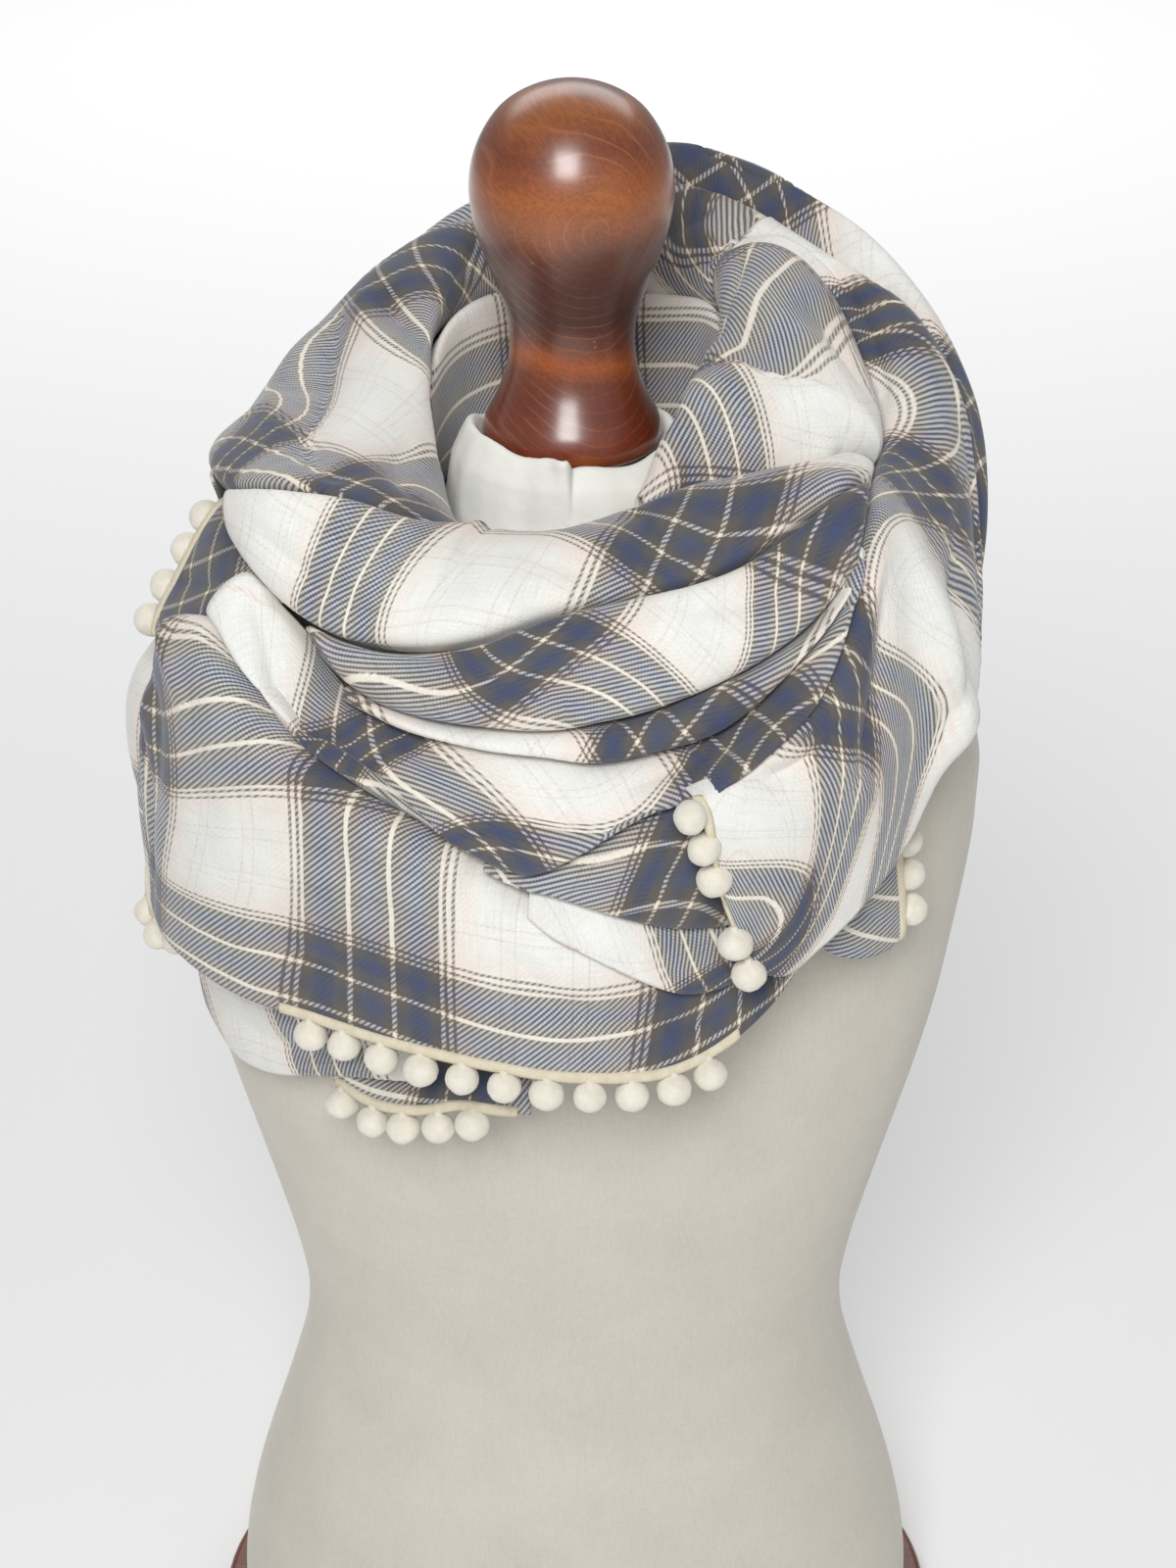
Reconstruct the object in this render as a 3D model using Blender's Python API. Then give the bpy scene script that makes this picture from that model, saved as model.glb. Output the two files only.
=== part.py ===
"""Triangle scarf wound round the neck of a limbless dress form.

Every stretch of the scarf is a 2 mm wall. Its cross-sections are worked out in upright planes
through the neck's axis: a section runs from one valley line to the next and swells out between
them, and both of its edges tuck in towards the core of the pile. Neighbours share a valley line,
so they meet with an even gap and never cross.

Azimuths are in degrees from the front (-Y) towards +X. Radii and heights are in millimetres,
heights from the top of the neck. Run with: blender --background --python part.py
"""
import math
from collections import namedtuple

import bmesh
import bpy
import numpy as np

MM = 0.001

# Driving dimensions, in millimetres
CLOTH = 2.0             # wall of the folded flannel
GAP = 0.4               # clearance between pieces that touch
TUCK = 8.0              # how far a stretch's edge turns in at a valley
STEP = 6                # degrees between cross-sections
BACK = 180              # azimuth of the middle of the back
NECK_TOP = 620.0        # height of the neck's top above the floor
PLATE_THICK = 18.0
PLATE_RIM = 12.0        # how far the base plate stands out past the torso's foot
COVER_THICK = 3.0       # wall of the gathered neck cover
COVER_GAP = 0.4         # neck cover to the neck
HEM_EDGE = 3.0          # length of a hem's straight edge
SLANT_REACH = 2.0       # degrees to each side over which a valley's slant is read
SLANT_MOST = 3.5        # widest that a gap is set because of a valley's slant
SIDE_SLOPE = 0.6        # the form counts as a side where it widens less than this going down
REST_GAP = 1.7          # cloth's middle surface to the form, where it lies on the shoulders
TRIM_RADIUS = 7.2       # reach of the pom-pom trim round its own line
TRIM_SIDES = 10

Line = namedtuple("Line", "azimuth radius height")
Swell = namedtuple("Swell", "azimuth upper lower turn_in hang")
Stretch = namedtuple("Stretch", "start end across upper lower swells colour fold",
                     defaults=(None,))
Fold = namedtuple("Fold", "depth lobes drift")
Ring = namedtuple("Ring", "height half_width front back")
Turn = namedtuple("Turn", "height radius")
Trim = namedtuple("Trim", "stretch first last out")

NAVY = (0.10, 0.13, 0.26)
TAUPE = (0.30, 0.26, 0.22)
IVORY = (0.80, 0.78, 0.72)
BLUSH = (0.72, 0.62, 0.55)
WOOD = (0.30, 0.09, 0.03)
JERSEY = (0.82, 0.82, 0.78)
FELT = (0.86, 0.82, 0.72)

# The core of the pile: every valley's edge tucks in towards it
CORE = [Line(0, 80, -72), Line(45, 94, -58), Line(90, 104, -38), Line(135, 102, 0),
        Line(180, 95, 5), Line(225, 96, -5), Line(270, 104, -45), Line(315, 90, -70)]

VALLEYS = {
    # round the neck, at the foot of the innermost turn
    "throat": [Line(90, 66, -30), Line(135, 66, -28), Line(180, 66, -25), Line(225, 66, -28),
               Line(270, 66, -30)],
    # between the innermost turn and the loops
    "rim": [Line(-36, 70, -24), Line(0, 70, -22), Line(30, 60, -12), Line(60, 58, 2),
            Line(90, 60, 22), Line(110, 67, 34), Line(130, 76, 42), Line(150, 80, 40),
            Line(180, 78, 38), Line(210, 72, 42), Line(235, 66, 36), Line(255, 62, 22),
            Line(275, 60, 6), Line(300, 61, -10), Line(324, 70, -24), Line(336, 70, -24)],
    # between the puff on the right and the top roll
    "crease": [Line(18, 68, -14), Line(26, 74, -7), Line(34, 77, -3), Line(50, 84, -1),
               Line(58, 94, 4), Line(64, 106, 8), Line(70, 118, 13)],
    # between the loops and what lies outside them, from the right shoulder round the back
    "outer": [Line(54, 172, -104), Line(60, 172, -84), Line(68, 170, -66), Line(76, 166, -45),
              Line(84, 161, -19), Line(92, 155, 9), Line(100, 144, 32), Line(110, 131, 50),
              Line(122, 119, 62), Line(134, 111, 72), Line(155, 107, 78), Line(180, 110, 72),
              Line(205, 115, 58), Line(225, 120, 38), Line(248, 127, 8), Line(264, 138, -8),
              Line(276, 144, -2)],
    # the left loop's edge over the top roll, down to the front
    "lapel": [Line(276, 144, -2), Line(288, 147, 4), Line(297, 148, 6), Line(313, 139, 15),
              Line(320, 124, 10), Line(328, 100, -6), Line(336, 72, -18)],
    # between the top roll and the right-hand loop, then along the hanging end
    "cuff": [Line(18, 165, -80), Line(26, 165, -67), Line(36, 160, -49), Line(41, 156, -30),
             Line(46, 149, -8), Line(53, 139, 3), Line(60, 132, 6), Line(75, 125, 8),
             Line(90, 119, 20), Line(102, 112, 42), Line(112, 104, 56), Line(122, 94, 60),
             Line(132, 84, 50)],
    # between the top and the middle roll
    "one": [Line(-62, 149, -12), Line(-53, 150, -20), Line(-46, 147, -29), Line(-39, 142, -36),
            Line(-27, 130, -39), Line(-17, 124, -35), Line(-4, 116, -27), Line(10, 116, -21),
            Line(21, 118, -17), Line(32, 122, -10), Line(41, 128, 2), Line(50, 133, 11),
            Line(58, 134, 10)],
    # between the middle and the narrow roll
    "ledge": [Line(-50, 149, -24), Line(-45, 147, -27), Line(-38, 144, -49), Line(-32, 142, -57),
              Line(-24, 140, -62), Line(-13, 138, -64), Line(4, 136, -62), Line(14, 137, -56),
              Line(22, 139, -49), Line(30, 142, -41), Line(38, 146, -30), Line(48, 149, -8)],
    # between the narrow and the lower roll
    "two": [Line(-50, 150, -25), Line(-44, 147, -37), Line(-38, 144, -58), Line(-30, 142, -65),
            Line(-16, 141, -71), Line(-5, 140, -74), Line(3, 140, -76), Line(13, 141, -72),
            Line(22, 144, -65), Line(30, 148, -51), Line(37, 152, -34), Line(46, 152, -12)],
    # over the front panel's top edge, then over the small roll
    "three": [Line(-72, 178, -98), Line(-66, 177, -70), Line(-61, 172, -44),
              Line(-56, 169, -34), Line(-46, 170, -49), Line(-38, 168, -67),
              Line(-29, 165, -82), Line(-21, 162, -94), Line(-13, 157, -106),
              Line(-6, 155, -113), Line(2, 154, -105), Line(12, 154, -90), Line(20, 153, -84),
              Line(30, 150, -84)],
    # between the small roll and the panel's fold
    "four": [Line(-15, 157, -106), Line(-8, 155, -117), Line(-2, 154, -123), Line(8, 155, -132),
             Line(16, 154, -139), Line(24, 152, -143), Line(32, 150, -141)],
    # between the panel's fold and the panel
    "five": [Line(-15, 157, -106), Line(-8, 158, -124), Line(-3, 160, -136), Line(3, 160, -147),
             Line(10, 159, -158), Line(15, 157, -166), Line(21, 155, -168), Line(27, 153, -164),
             Line(32, 152, -156), Line(36, 152, -148)],
    # front panel's hem
    "hem": [Line(-72, 184, -176), Line(-62, 186, -178), Line(-54, 184, -180),
            Line(-46, 179, -183), Line(-39, 173, -184), Line(-24, 168, -187),
            Line(-11, 166, -191), Line(2, 166, -195), Line(15, 164, -195), Line(24, 161, -186),
            Line(30, 160, -174), Line(36, 158, -158)],
    # hem under the hanging end
    "tip": [Line(18, 168, -120), Line(22, 170, -148), Line(26, 172, -156), Line(33, 172, -149),
            Line(45, 173, -128), Line(54, 174, -104), Line(60, 175, -84)],
    # foot of the outer turn, on the shoulders and the back
    "base": [Line(54, 158, -138), Line(60, 158, -126), Line(68, 157, -108), Line(78, 150, -98),
             Line(90, 146, -92), Line(120, 126, -94), Line(150, 106, -98), Line(180, 96, -100),
             Line(210, 106, -98), Line(240, 126, -94), Line(265, 144, -88), Line(280, 148, -84)],
    # left strip: its top lies under the top roll, its foot on the panel's edge
    "strip_top": [Line(282, 139, -12), Line(290, 140, -15), Line(300, 140, -20),
                  Line(312, 139, -31)],
    "strip_foot": [Line(282, 172, -69), Line(290, 167, -64), Line(300, 159, -51),
                   Line(312, 156, -50)],
    # cloth under the panel's left edge
    "under_top": [Line(270, 178, -92), Line(276, 178, -90), Line(282, 175.5, -91),
                  Line(288, 169.5, -95), Line(300, 154, -102)],
    "under_foot": [Line(270, 183, -180), Line(276, 183, -192), Line(288, 174, -188),
                   Line(300, 166, -184)],
    # puffed fold below the hem
    "fold_top": [Line(-72, 166, -192), Line(-66, 164, -194), Line(-54, 160, -196),
                 Line(-42, 152, -198), Line(-30, 148, -203), Line(-24, 147, -208)],
    "fold_foot": [Line(-72, 159, -238), Line(-66, 155.5, -246), Line(-56, 153, -242),
                  Line(-46, 149, -234), Line(-36, 147, -224), Line(-24, 146, -216)],
    # end of the scarf below that fold
    "end_top": [Line(-42, 137, -212), Line(-30, 136, -208), Line(-18, 136, -202),
                Line(-6, 136, -198)],
    "end_hem": [Line(-42, 146, -232), Line(-32, 149, -233), Line(-24, 150, -229),
                Line(-16, 150, -222), Line(-12, 150, -222), Line(-6, 149, -222)],
    # second end, behind the hanging one
    "back_top": [Line(30, 141, -130), Line(36, 147, -128), Line(42, 155, -125),
                 Line(48, 158, -122), Line(60, 158, -132)],
    "back_hem": [Line(30, 142, -148), Line(36, 148, -156), Line(42, 158, -168),
                 Line(51, 164, -172), Line(60, 164, -162)],
}

STRETCHES = {
    "inner_wrap": Stretch(90, 270, 4, ["throat"], ["rim"],
                          [Swell(90, 10, 10, 8, 0), Swell(180, 14, 14, 8, 0),
                           Swell(270, 10, 10, 8, 0)],
                          TAUPE),
    "left_loop": Stretch(180, 330, 7, ["rim"], ["outer", "lapel"],
                         [Swell(180, 34, 26, 8, 0), Swell(210, 36, 28, 8, 0),
                          Swell(240, 40, 26, 8, 0), Swell(270, 52, 26, 20, 0),
                          Swell(300, 46, 22, 24, 0), Swell(330, 10, 6, 14, 0)],
                         IVORY),
    "right_loop": Stretch(18, 180, 7, ["cuff", "rim"], ["tip", "outer"],
                          [Swell(18, 8, 20, 8, 1), Swell(30, 14, 40, 3, 1),
                           Swell(50, 24, 50, 3, 1), Swell(62, 20, 26, 8, 0),
                           Swell(90, 22, 20, 8, 0), Swell(110, 16, 14, 8, 0),
                           Swell(130, 26, 10, 8, 0), Swell(180, 34, 10, 8, 0)],
                          NAVY),
    "outer_loop": Stretch(60, 204, 11, ["outer"], ["base"],
                          [Swell(60, 8, 8, 4, 0), Swell(78, 8, 10, 4, 0),
                           Swell(90, 30, 22, 8, 0), Swell(105, 68, 40, 8, 0),
                           Swell(120, 94, 60, 8, 0), Swell(150, 106, 64, 8, 0),
                           Swell(180, 82, 60, 8, 0),
                           Swell(204, 26, 40, 8, 0)],
                          TAUPE, Fold(9, 3, 0.5)),
    "left_back": Stretch(204, 276, 11, ["outer"], ["base"],
                         [Swell(204, 26, 40, 8, 0), Swell(240, 14, 24, 8, 0),
                          Swell(276, 4, 6, 8, 0)],
                         TAUPE, Fold(9, 3, 0.5)),
    "right_puff": Stretch(24, 126, 7, ["rim"], ["crease", "cuff"],
                          [Swell(24, 16, 14, 24, 0), Swell(42, 46, 24, 20, 0),
                           Swell(60, 62, 36, 16, 0), Swell(90, 62, 36, 10, 0),
                           Swell(110, 44, 26, 8, 0), Swell(126, 26, 18, 8, 0)],
                          NAVY),
    "top_roll": Stretch(-60, 66, 7, ["rim", "lapel", "crease"], ["one", "cuff"],
                        [Swell(-60, 8, 8, 8, 0), Swell(-48, 14, 14, 8, 0),
                         Swell(-36, 26, 16, 10, 0), Swell(-24, 36, 20, 20, 0),
                         Swell(0, 38, 20, 24, 0), Swell(24, 28, 18, 10, 0),
                         Swell(48, 20, 18, 8, 0), Swell(66, 8, 8, 8, 0)],
                        NAVY),
    "middle_roll": Stretch(-42, 54, 6, ["one"], ["ledge", "cuff"],
                           [Swell(-42, 6, 6, 8, 0), Swell(-24, 12, 12, 8, 0),
                            Swell(0, 16, 13, 8, 0), Swell(30, 14, 12, 8, 0),
                            Swell(54, 6, 6, 8, 0)],
                           BLUSH),
    "narrow_roll": Stretch(-36, 42, 5, ["ledge"], ["two", "cuff"],
                           [Swell(-36, 5, 5, 8, 0), Swell(-20, 6, 6, 8, 0),
                            Swell(12, 8, 8, 8, 0), Swell(42, 4, 4, 8, 0)],
                           TAUPE),
    "lower_roll": Stretch(-54, 42, 6, ["one", "two"], ["three", "cuff"],
                          [Swell(-54, 8, 8, 8, 0), Swell(-36, 12, 12, 8, 0),
                           Swell(0, 13, 12, 8, 0), Swell(24, 10, 10, 8, 0),
                           Swell(42, 4, 4, 8, 0)],
                          NAVY),
    "small_roll": Stretch(-12, 24, 5, ["three"], ["four"],
                          [Swell(-12, 5, 5, 8, 0), Swell(0, 9, 8, 8, 0),
                           Swell(12, 10, 10, 8, 0), Swell(24, 8, 8, 8, 0)],
                          NAVY),
    "panel_fold": Stretch(-6, 30, 5, ["four"], ["five"],
                          [Swell(-6, 5, 5, 8, 0), Swell(8, 9, 9, 8, 0), Swell(30, 6, 6, 8, 0)],
                          IVORY),
    "front_panel": Stretch(-72, 36, 7, ["three", "five"], ["hem"],
                           [Swell(-72, 12, 50, 8, 1), Swell(-54, 30, 70, 8, 1),
                            Swell(-30, 22, 60, 8, 1), Swell(0, 10, 26, 8, 1),
                            Swell(24, 4, 8, 5, 1), Swell(36, 2, 3, 1, 1)],
                           IVORY),
    "left_strip": Stretch(282, 306, 7, ["strip_top"], ["strip_foot"],
                          [Swell(282, 6, 6, 8, 0), Swell(306, 6, 6, 8, 0)],
                          TAUPE),
    "left_under": Stretch(270, 294, 5, ["under_top"], ["under_foot"],
                          [Swell(270, 30, 48, 8, 1), Swell(282, 22, 42, 8, 1),
                           Swell(294, 4, 20, 8, 1)],
                          BLUSH),
    "under_fold": Stretch(-72, -24, 5, ["fold_top"], ["fold_foot"],
                          [Swell(-72, 12, 12, 8, 0), Swell(-48, 12, 12, 8, 0),
                           Swell(-24, 6, 6, 8, 0)],
                          BLUSH),
    "under_end": Stretch(-42, -6, 4, ["end_top"], ["end_hem"],
                         [Swell(-42, 6, 12, 8, 1), Swell(-6, 6, 12, 8, 1)],
                         TAUPE),
    "hanging_back": Stretch(30, 54, 4, ["back_top"], ["back_hem"],
                            [Swell(30, 5, 14, 8, 1), Swell(54, 5, 14, 8, 1)],
                            TAUPE),
}

# Pom-pom braid: the stretch it is sewn to, the azimuths it runs between, and how far its line
# stands out from the cloth's edge. The same azimuth twice is the end of the stretch there.
TRIMS = {
    "panel_trim": Trim("front_panel", -54, 24, 8.0),
    "strip_trim": Trim("left_strip", 282, 282, 6.9),
    "left_under_trim": Trim("left_under", 272, 282, 8.6),
    "under_end_trim": Trim("under_end", -42, -12, 8.4),
    "hanging_back_trim": Trim("hanging_back", 54, 54, 6.9),
}
# The braid round the corner of the hanging end: down its side, then along its hem
CORNER_TRIM = [Line(15.2, 168, -86), Line(15.2, 169, -102), Line(15.2, 170, -120),
               Line(15.8, 170, -128), Line(17.0, 171, -136), Line(19.2, 172, -149),
               Line(21.4, 173, -161)]

# The form: rings from the neck's top down to the plate
TORSO = [Ring(-4, 46, 46, 46), Ring(-30, 48, 48, 50), Ring(-45, 54, 52, 58),
         Ring(-58, 74, 56, 68), Ring(-70, 100, 62, 78), Ring(-84, 132, 70, 86),
         Ring(-98, 156, 78, 94), Ring(-112, 168, 84, 100), Ring(-135, 173, 92, 105),
         Ring(-170, 172, 100, 108), Ring(-220, 165, 108, 109), Ring(-260, 158, 111, 106),
         Ring(-320, 142, 102, 97), Ring(-380, 127, 91, 88), Ring(-420, 122, 87, 84),
         Ring(-470, 136, 93, 93), Ring(-530, 156, 101, 108), Ring(-580, 165, 104, 116),
         Ring(PLATE_THICK + GAP - NECK_TOP, 163, 103, 115)]
TORSO_POWER = 2.2       # 2 is an ellipse, more is squarer
COVER_RINGS = 4         # torso rings that the neck cover lies over
TORSO_SIDES = 32

# Turned neck knob, from the rim of its foot to the top of its ball
KNOB = [Turn(0, 33), Turn(2, 35), Turn(7, 36), Turn(12, 35), Turn(20, 31),
        Turn(30, 27), Turn(42, 25), Turn(52, 25.5), Turn(64, 29), Turn(78, 34.5),
        Turn(92, 38.6), Turn(104, 40), Turn(116, 38.6), Turn(127, 34), Turn(136, 27),
        Turn(142, 17.5), Turn(145, 8), Turn(145.5, 2)]
KNOB_SIDES = 32


def smooth(rows, azimuth):
    """Read a table's other columns at an azimuth, along a smooth curve through its rows."""
    turn = 0
    if azimuth < rows[0].azimuth - 1e-6:
        turn = 360
    if azimuth > rows[-1].azimuth + 1e-6:
        turn = -360
    at = azimuth + turn
    if not rows[0].azimuth - 1e-6 <= at <= rows[-1].azimuth + 1e-6:
        return None
    knots = np.array([row.azimuth for row in rows], dtype=float)
    values = np.array([row[1:] for row in rows], dtype=float)
    slopes = np.gradient(values, knots, axis=0)
    k = int(np.clip(np.searchsorted(knots, at) - 1, 0, len(knots) - 2))
    span = knots[k + 1] - knots[k]
    t = (at - knots[k]) / span
    return ((2 * t**3 - 3 * t**2 + 1) * values[k] + (t**3 - 2 * t**2 + t) * span * slopes[k]
            + (3 * t**2 - 2 * t**3) * values[k + 1] + (t**3 - t**2) * span * slopes[k + 1])


def core_at(azimuth):
    """Core point of the pile in the upright plane at an azimuth."""
    return smooth(CORE + [row._replace(azimuth=row.azimuth + 360) for row in CORE[:2]],
                  azimuth % 360)


def turn_about_core(point, core):
    """Angle of a section point seen from the core: 180 faces the neck, 90 is up, 0 is out."""
    angle = math.degrees(math.atan2(point[1] - core[1], point[0] - core[0]))
    return angle + 360 if angle < -90 else angle


def valley_at(names, azimuth, last):
    """The last, or the first, of the named valleys that a section meets going outwards."""
    core = core_at(azimuth)
    points = [smooth(VALLEYS[name], azimuth) for name in names]
    points = [point for point in points if point is not None]
    order = sorted(points, key=lambda point: turn_about_core(point, core))
    return order[0] if last else order[-1]


def oval_radius(azimuth, half_width, front, back, power):
    """Radius of a rounded oval outline at an azimuth."""
    side = abs(math.sin(math.radians(azimuth))) / half_width
    ahead = math.cos(math.radians(azimuth))
    depth = abs(ahead) / (front if ahead > 0 else back)
    return (side**power + depth**power) ** (-1 / power)


def form_radius(azimuth, height):
    """Radius of the torso's surface at an azimuth and height."""
    rings = np.array(TORSO[::-1])
    sizes = [np.interp(height, rings[:, 0], rings[:, column]) for column in (1, 2, 3)]
    return oval_radius(azimuth, *sizes, TORSO_POWER)


def clear_of_form(azimuth, point):
    """Move a section point off the form's surface: up off a shoulder, out from a side."""
    radius, height = point
    while height < TORSO[0].height:
        surface = form_radius(azimuth, height)
        slope = form_radius(azimuth, height - 1) - surface
        least = surface + REST_GAP * math.hypot(1, slope)
        if radius >= least:
            break
        if slope < SIDE_SLOPE:
            radius = least
            break
        height += 0.25
    return radius, height


def slant(stretch, names, azimuth, last, side):
    """How much further apart two edges are set, where their valley runs aslant."""
    before = max(azimuth - SLANT_REACH, stretch.start)
    after = min(azimuth + SLANT_REACH, stretch.end)
    start, end = valley_at(names, before, last), valley_at(names, after, last)
    arc = math.radians(after - before) * (start[0] + end[0]) / 2
    return min(math.hypot(1, np.dot(end - start, side) / arc), SLANT_MOST)


def groove(fold, azimuth, t):
    """Depth of the grooves between a fold's lobes, a share t of the way down a section."""
    phase = 2 * math.pi * fold.lobes * (t + fold.drift * (azimuth - BACK) / 360)
    return fold.depth * math.sin(math.pi * t) * (1 + math.cos(phase)) / 2


def section(stretch, azimuth):
    """Points of a stretch's cross-section, as (radius, height) from its upper to its lower edge."""
    core = core_at(azimuth)
    upper = valley_at(stretch.upper, azimuth, last=True)
    lower = valley_at(stretch.lower, azimuth, last=False)
    swell = Swell(azimuth, *smooth(stretch.swells, azimuth))
    away = [(edge - core) / np.linalg.norm(edge - core) for edge in (upper, lower)]
    side = [np.array((way[1], -way[0])) for way in away]
    hang = min(max(swell.hang, 0), 1)
    seat = [(CLOTH + GAP) / 2 * slant(stretch, names, azimuth, last, way)
            for names, last, way in ((stretch.upper, True, side[0]),
                                     (stretch.lower, False, side[1]))]
    first = upper + side[0] * seat[0]
    fourth = lower - side[1] * seat[1] * (1 - hang)
    rise = away[1] * (1 - hang) + np.array((0.0, 1.0)) * hang
    second = first + away[0] * swell.upper
    third = fourth + rise / np.linalg.norm(rise) * swell.lower
    points = [first - away[0] * swell.turn_in]
    for t in np.linspace(0, 1, stretch.across):
        point = ((1 - t)**3 * first + 3 * t * (1 - t)**2 * second
                 + 3 * t**2 * (1 - t) * third + t**3 * fourth)
        if stretch.fold:
            inward = (core - point) / np.linalg.norm(core - point)
            point = point + inward * groove(stretch.fold, azimuth, t)
        points.append(point)
    points.append(fourth - away[1] * TUCK * (1 - hang) - np.array((0.0, HEM_EDGE)) * hang)
    return np.array([clear_of_form(azimuth, point) for point in points])


def to_world(azimuth, radius, height):
    """Point in metres from an azimuth, radius and height."""
    angle = math.radians(azimuth)
    return (radius * math.sin(angle) * MM, -radius * math.cos(angle) * MM,
            (NECK_TOP + height) * MM)


def stretch_points(stretch):
    """Grid of points over a stretch: a row of points for each cross-section."""
    first = math.ceil(stretch.start / STEP)
    last = math.floor(stretch.end / STEP)
    inset = math.degrees(GAP * 1.3 / 110)
    grid = []
    for count in range(first, last + 1):
        azimuth = count * STEP
        if count == first:
            azimuth += inset
        if count == last:
            azimuth -= inset
        grid.append([to_world(azimuth, *point) for point in section(stretch, azimuth)])
    return np.array(grid)


def clear_scene():
    """Remove every object, so the script can run again."""
    for item in list(bpy.data.objects):
        bpy.data.objects.remove(item, do_unlink=True)


def finish(name, mesh_builder, colour, roughness):
    """Link a finished bmesh to the scene as a named object with its own material."""
    mesh = bpy.data.meshes.new(name)
    mesh_builder.to_mesh(mesh)
    mesh_builder.free()
    item = bpy.data.objects.new(name, mesh)
    bpy.context.scene.collection.objects.link(item)
    material = bpy.data.materials.new(name)
    material.use_nodes = True
    shader = material.node_tree.nodes["Principled BSDF"]
    shader.inputs["Base Color"].default_value = (*colour, 1)
    shader.inputs["Roughness"].default_value = roughness
    mesh.materials.append(material)
    mesh.shade_smooth()
    return item


def grid_mesh(points):
    """A grid of faces moved onto rows of points."""
    rows, columns = len(points), len(points[0])
    builder = bmesh.new()
    bmesh.ops.create_grid(builder, x_segments=columns - 1, y_segments=rows - 1, size=1)
    for vert in builder.verts:
        column = round((vert.co.x + 1) / 2 * (columns - 1))
        row = round((vert.co.y + 1) / 2 * (rows - 1))
        vert.co = points[row][column]
    return builder


def closed_mesh(points):
    """A tube over rows of ring points, welded round and capped at both ends."""
    builder = grid_mesh([list(ring) + [ring[0]] for ring in points])
    bmesh.ops.remove_doubles(builder, verts=builder.verts[:], dist=1e-7)
    edges = [edge for edge in builder.edges if edge.is_boundary]
    if edges:
        bmesh.ops.holes_fill(builder, edges=edges)
    bmesh.ops.recalc_face_normals(builder, faces=builder.faces[:])
    return builder


def build_cloth(name, stretch):
    """Build one stretch of the scarf as a wall of cloth."""
    item = finish(name, grid_mesh(stretch_points(stretch)), stretch.colour, 0.9)
    solidify = item.modifiers.new("wall", "SOLIDIFY")
    solidify.thickness = CLOTH * MM
    solidify.offset = 0
    return item


def oval(ring, sides, power=TORSO_POWER):
    """Ring of points round an oval outline at its height."""
    points = []
    for count in range(sides):
        azimuth = 360 * count / sides
        points.append(to_world(azimuth, oval_radius(azimuth, *ring[1:], power), ring.height))
    return points


def grown(ring, out):
    """The same ring, moved out all round."""
    return ring._replace(half_width=ring.half_width + out, front=ring.front + out,
                         back=ring.back + out)


def build_form():
    """Build the dress form: plate, torso, neck cover and knob."""
    foot = TORSO[-1]
    plate = [grown(foot, out)._replace(height=level - NECK_TOP)
             for level, out in ((0, PLATE_RIM - 4), (3, PLATE_RIM),
                                (PLATE_THICK - 3, PLATE_RIM), (PLATE_THICK, PLATE_RIM - 4))]
    finish("base_plate", closed_mesh([oval(ring, TORSO_SIDES) for ring in plate]), WOOD, 0.35)
    finish("torso", closed_mesh([oval(ring, TORSO_SIDES) for ring in TORSO]), JERSEY, 0.85)
    build_cover()
    knob = [Ring(turn.height + GAP, turn.radius, turn.radius, turn.radius) for turn in KNOB]
    finish("neck_knob", closed_mesh([oval(ring, KNOB_SIDES, 2) for ring in knob]), WOOD, 0.28)


def build_cover():
    """Build the cap of cloth that is drawn over the top of the neck."""
    neck = TORSO[:COVER_RINGS]
    top = neck[0]
    inside = [grown(ring, COVER_GAP) for ring in neck]
    inside[0] = inside[0]._replace(height=top.height + COVER_GAP)
    outside = [grown(ring, COVER_GAP + COVER_THICK) for ring in neck]
    lid = outside[0]._replace(height=top.height + COVER_GAP + 1)
    rim = grown(lid, -2)._replace(height=0)
    rings = inside + outside[:0:-1] + [lid, rim]
    finish("neck_cover", closed_mesh([oval(ring, TORSO_SIDES) for ring in rings]), JERSEY, 0.9)


def edge_path(trim):
    """Line of a trim along its stretch's hem, just clear of the cloth's edge."""
    stretch = STRETCHES[trim.stretch]
    path = []
    for azimuth in range(trim.first, trim.last + 1, 2):
        previous, last = section(stretch, azimuth)[-2:]
        along = (last - previous) / np.linalg.norm(last - previous)
        path.append(to_world(azimuth, *(last + along * trim.out)))
    return path


def end_path(trim):
    """Line of a trim along the end of its stretch, just clear of the end section."""
    stretch = STRETCHES[trim.stretch]
    side = 1 if trim.first == stretch.end else -1
    path = []
    for radius, height in section(stretch, trim.first)[1:]:
        turn = math.degrees(trim.out / radius) * side
        path.append(to_world(trim.first + turn, radius, height))
    return path


def rod(path):
    """A round rod of the trim's reach along a path, closed at both ends."""
    path = np.array(path)
    ways = np.gradient(path, axis=0)
    rings = []
    across = np.cross(ways[0], path[0] - np.array((0, 0, path[0][2])))
    for point, way in zip(path, ways):
        way = way / np.linalg.norm(way)
        across = across - way * np.dot(across, way)
        across = across / np.linalg.norm(across)
        other = np.cross(way, across)
        ring = []
        for count in range(TRIM_SIDES):
            angle = 2 * math.pi * count / TRIM_SIDES
            ring.append(point + (across * math.cos(angle) + other * math.sin(angle))
                        * TRIM_RADIUS * MM)
        rings.append(ring)
    return closed_mesh(rings)


def build_trims():
    """Build the pom-pom braid's reach on every hem and end that carries it."""
    for name, trim in TRIMS.items():
        path = end_path(trim) if trim.first == trim.last else edge_path(trim)
        finish(name, rod(path), FELT, 0.95)
    finish("hanging_trim", rod([to_world(*row) for row in CORNER_TRIM]), FELT, 0.95)


def build():
    """Build the whole part."""
    clear_scene()
    build_form()
    for name, stretch in STRETCHES.items():
        build_cloth(name, stretch)
    build_trims()


build()
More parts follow.
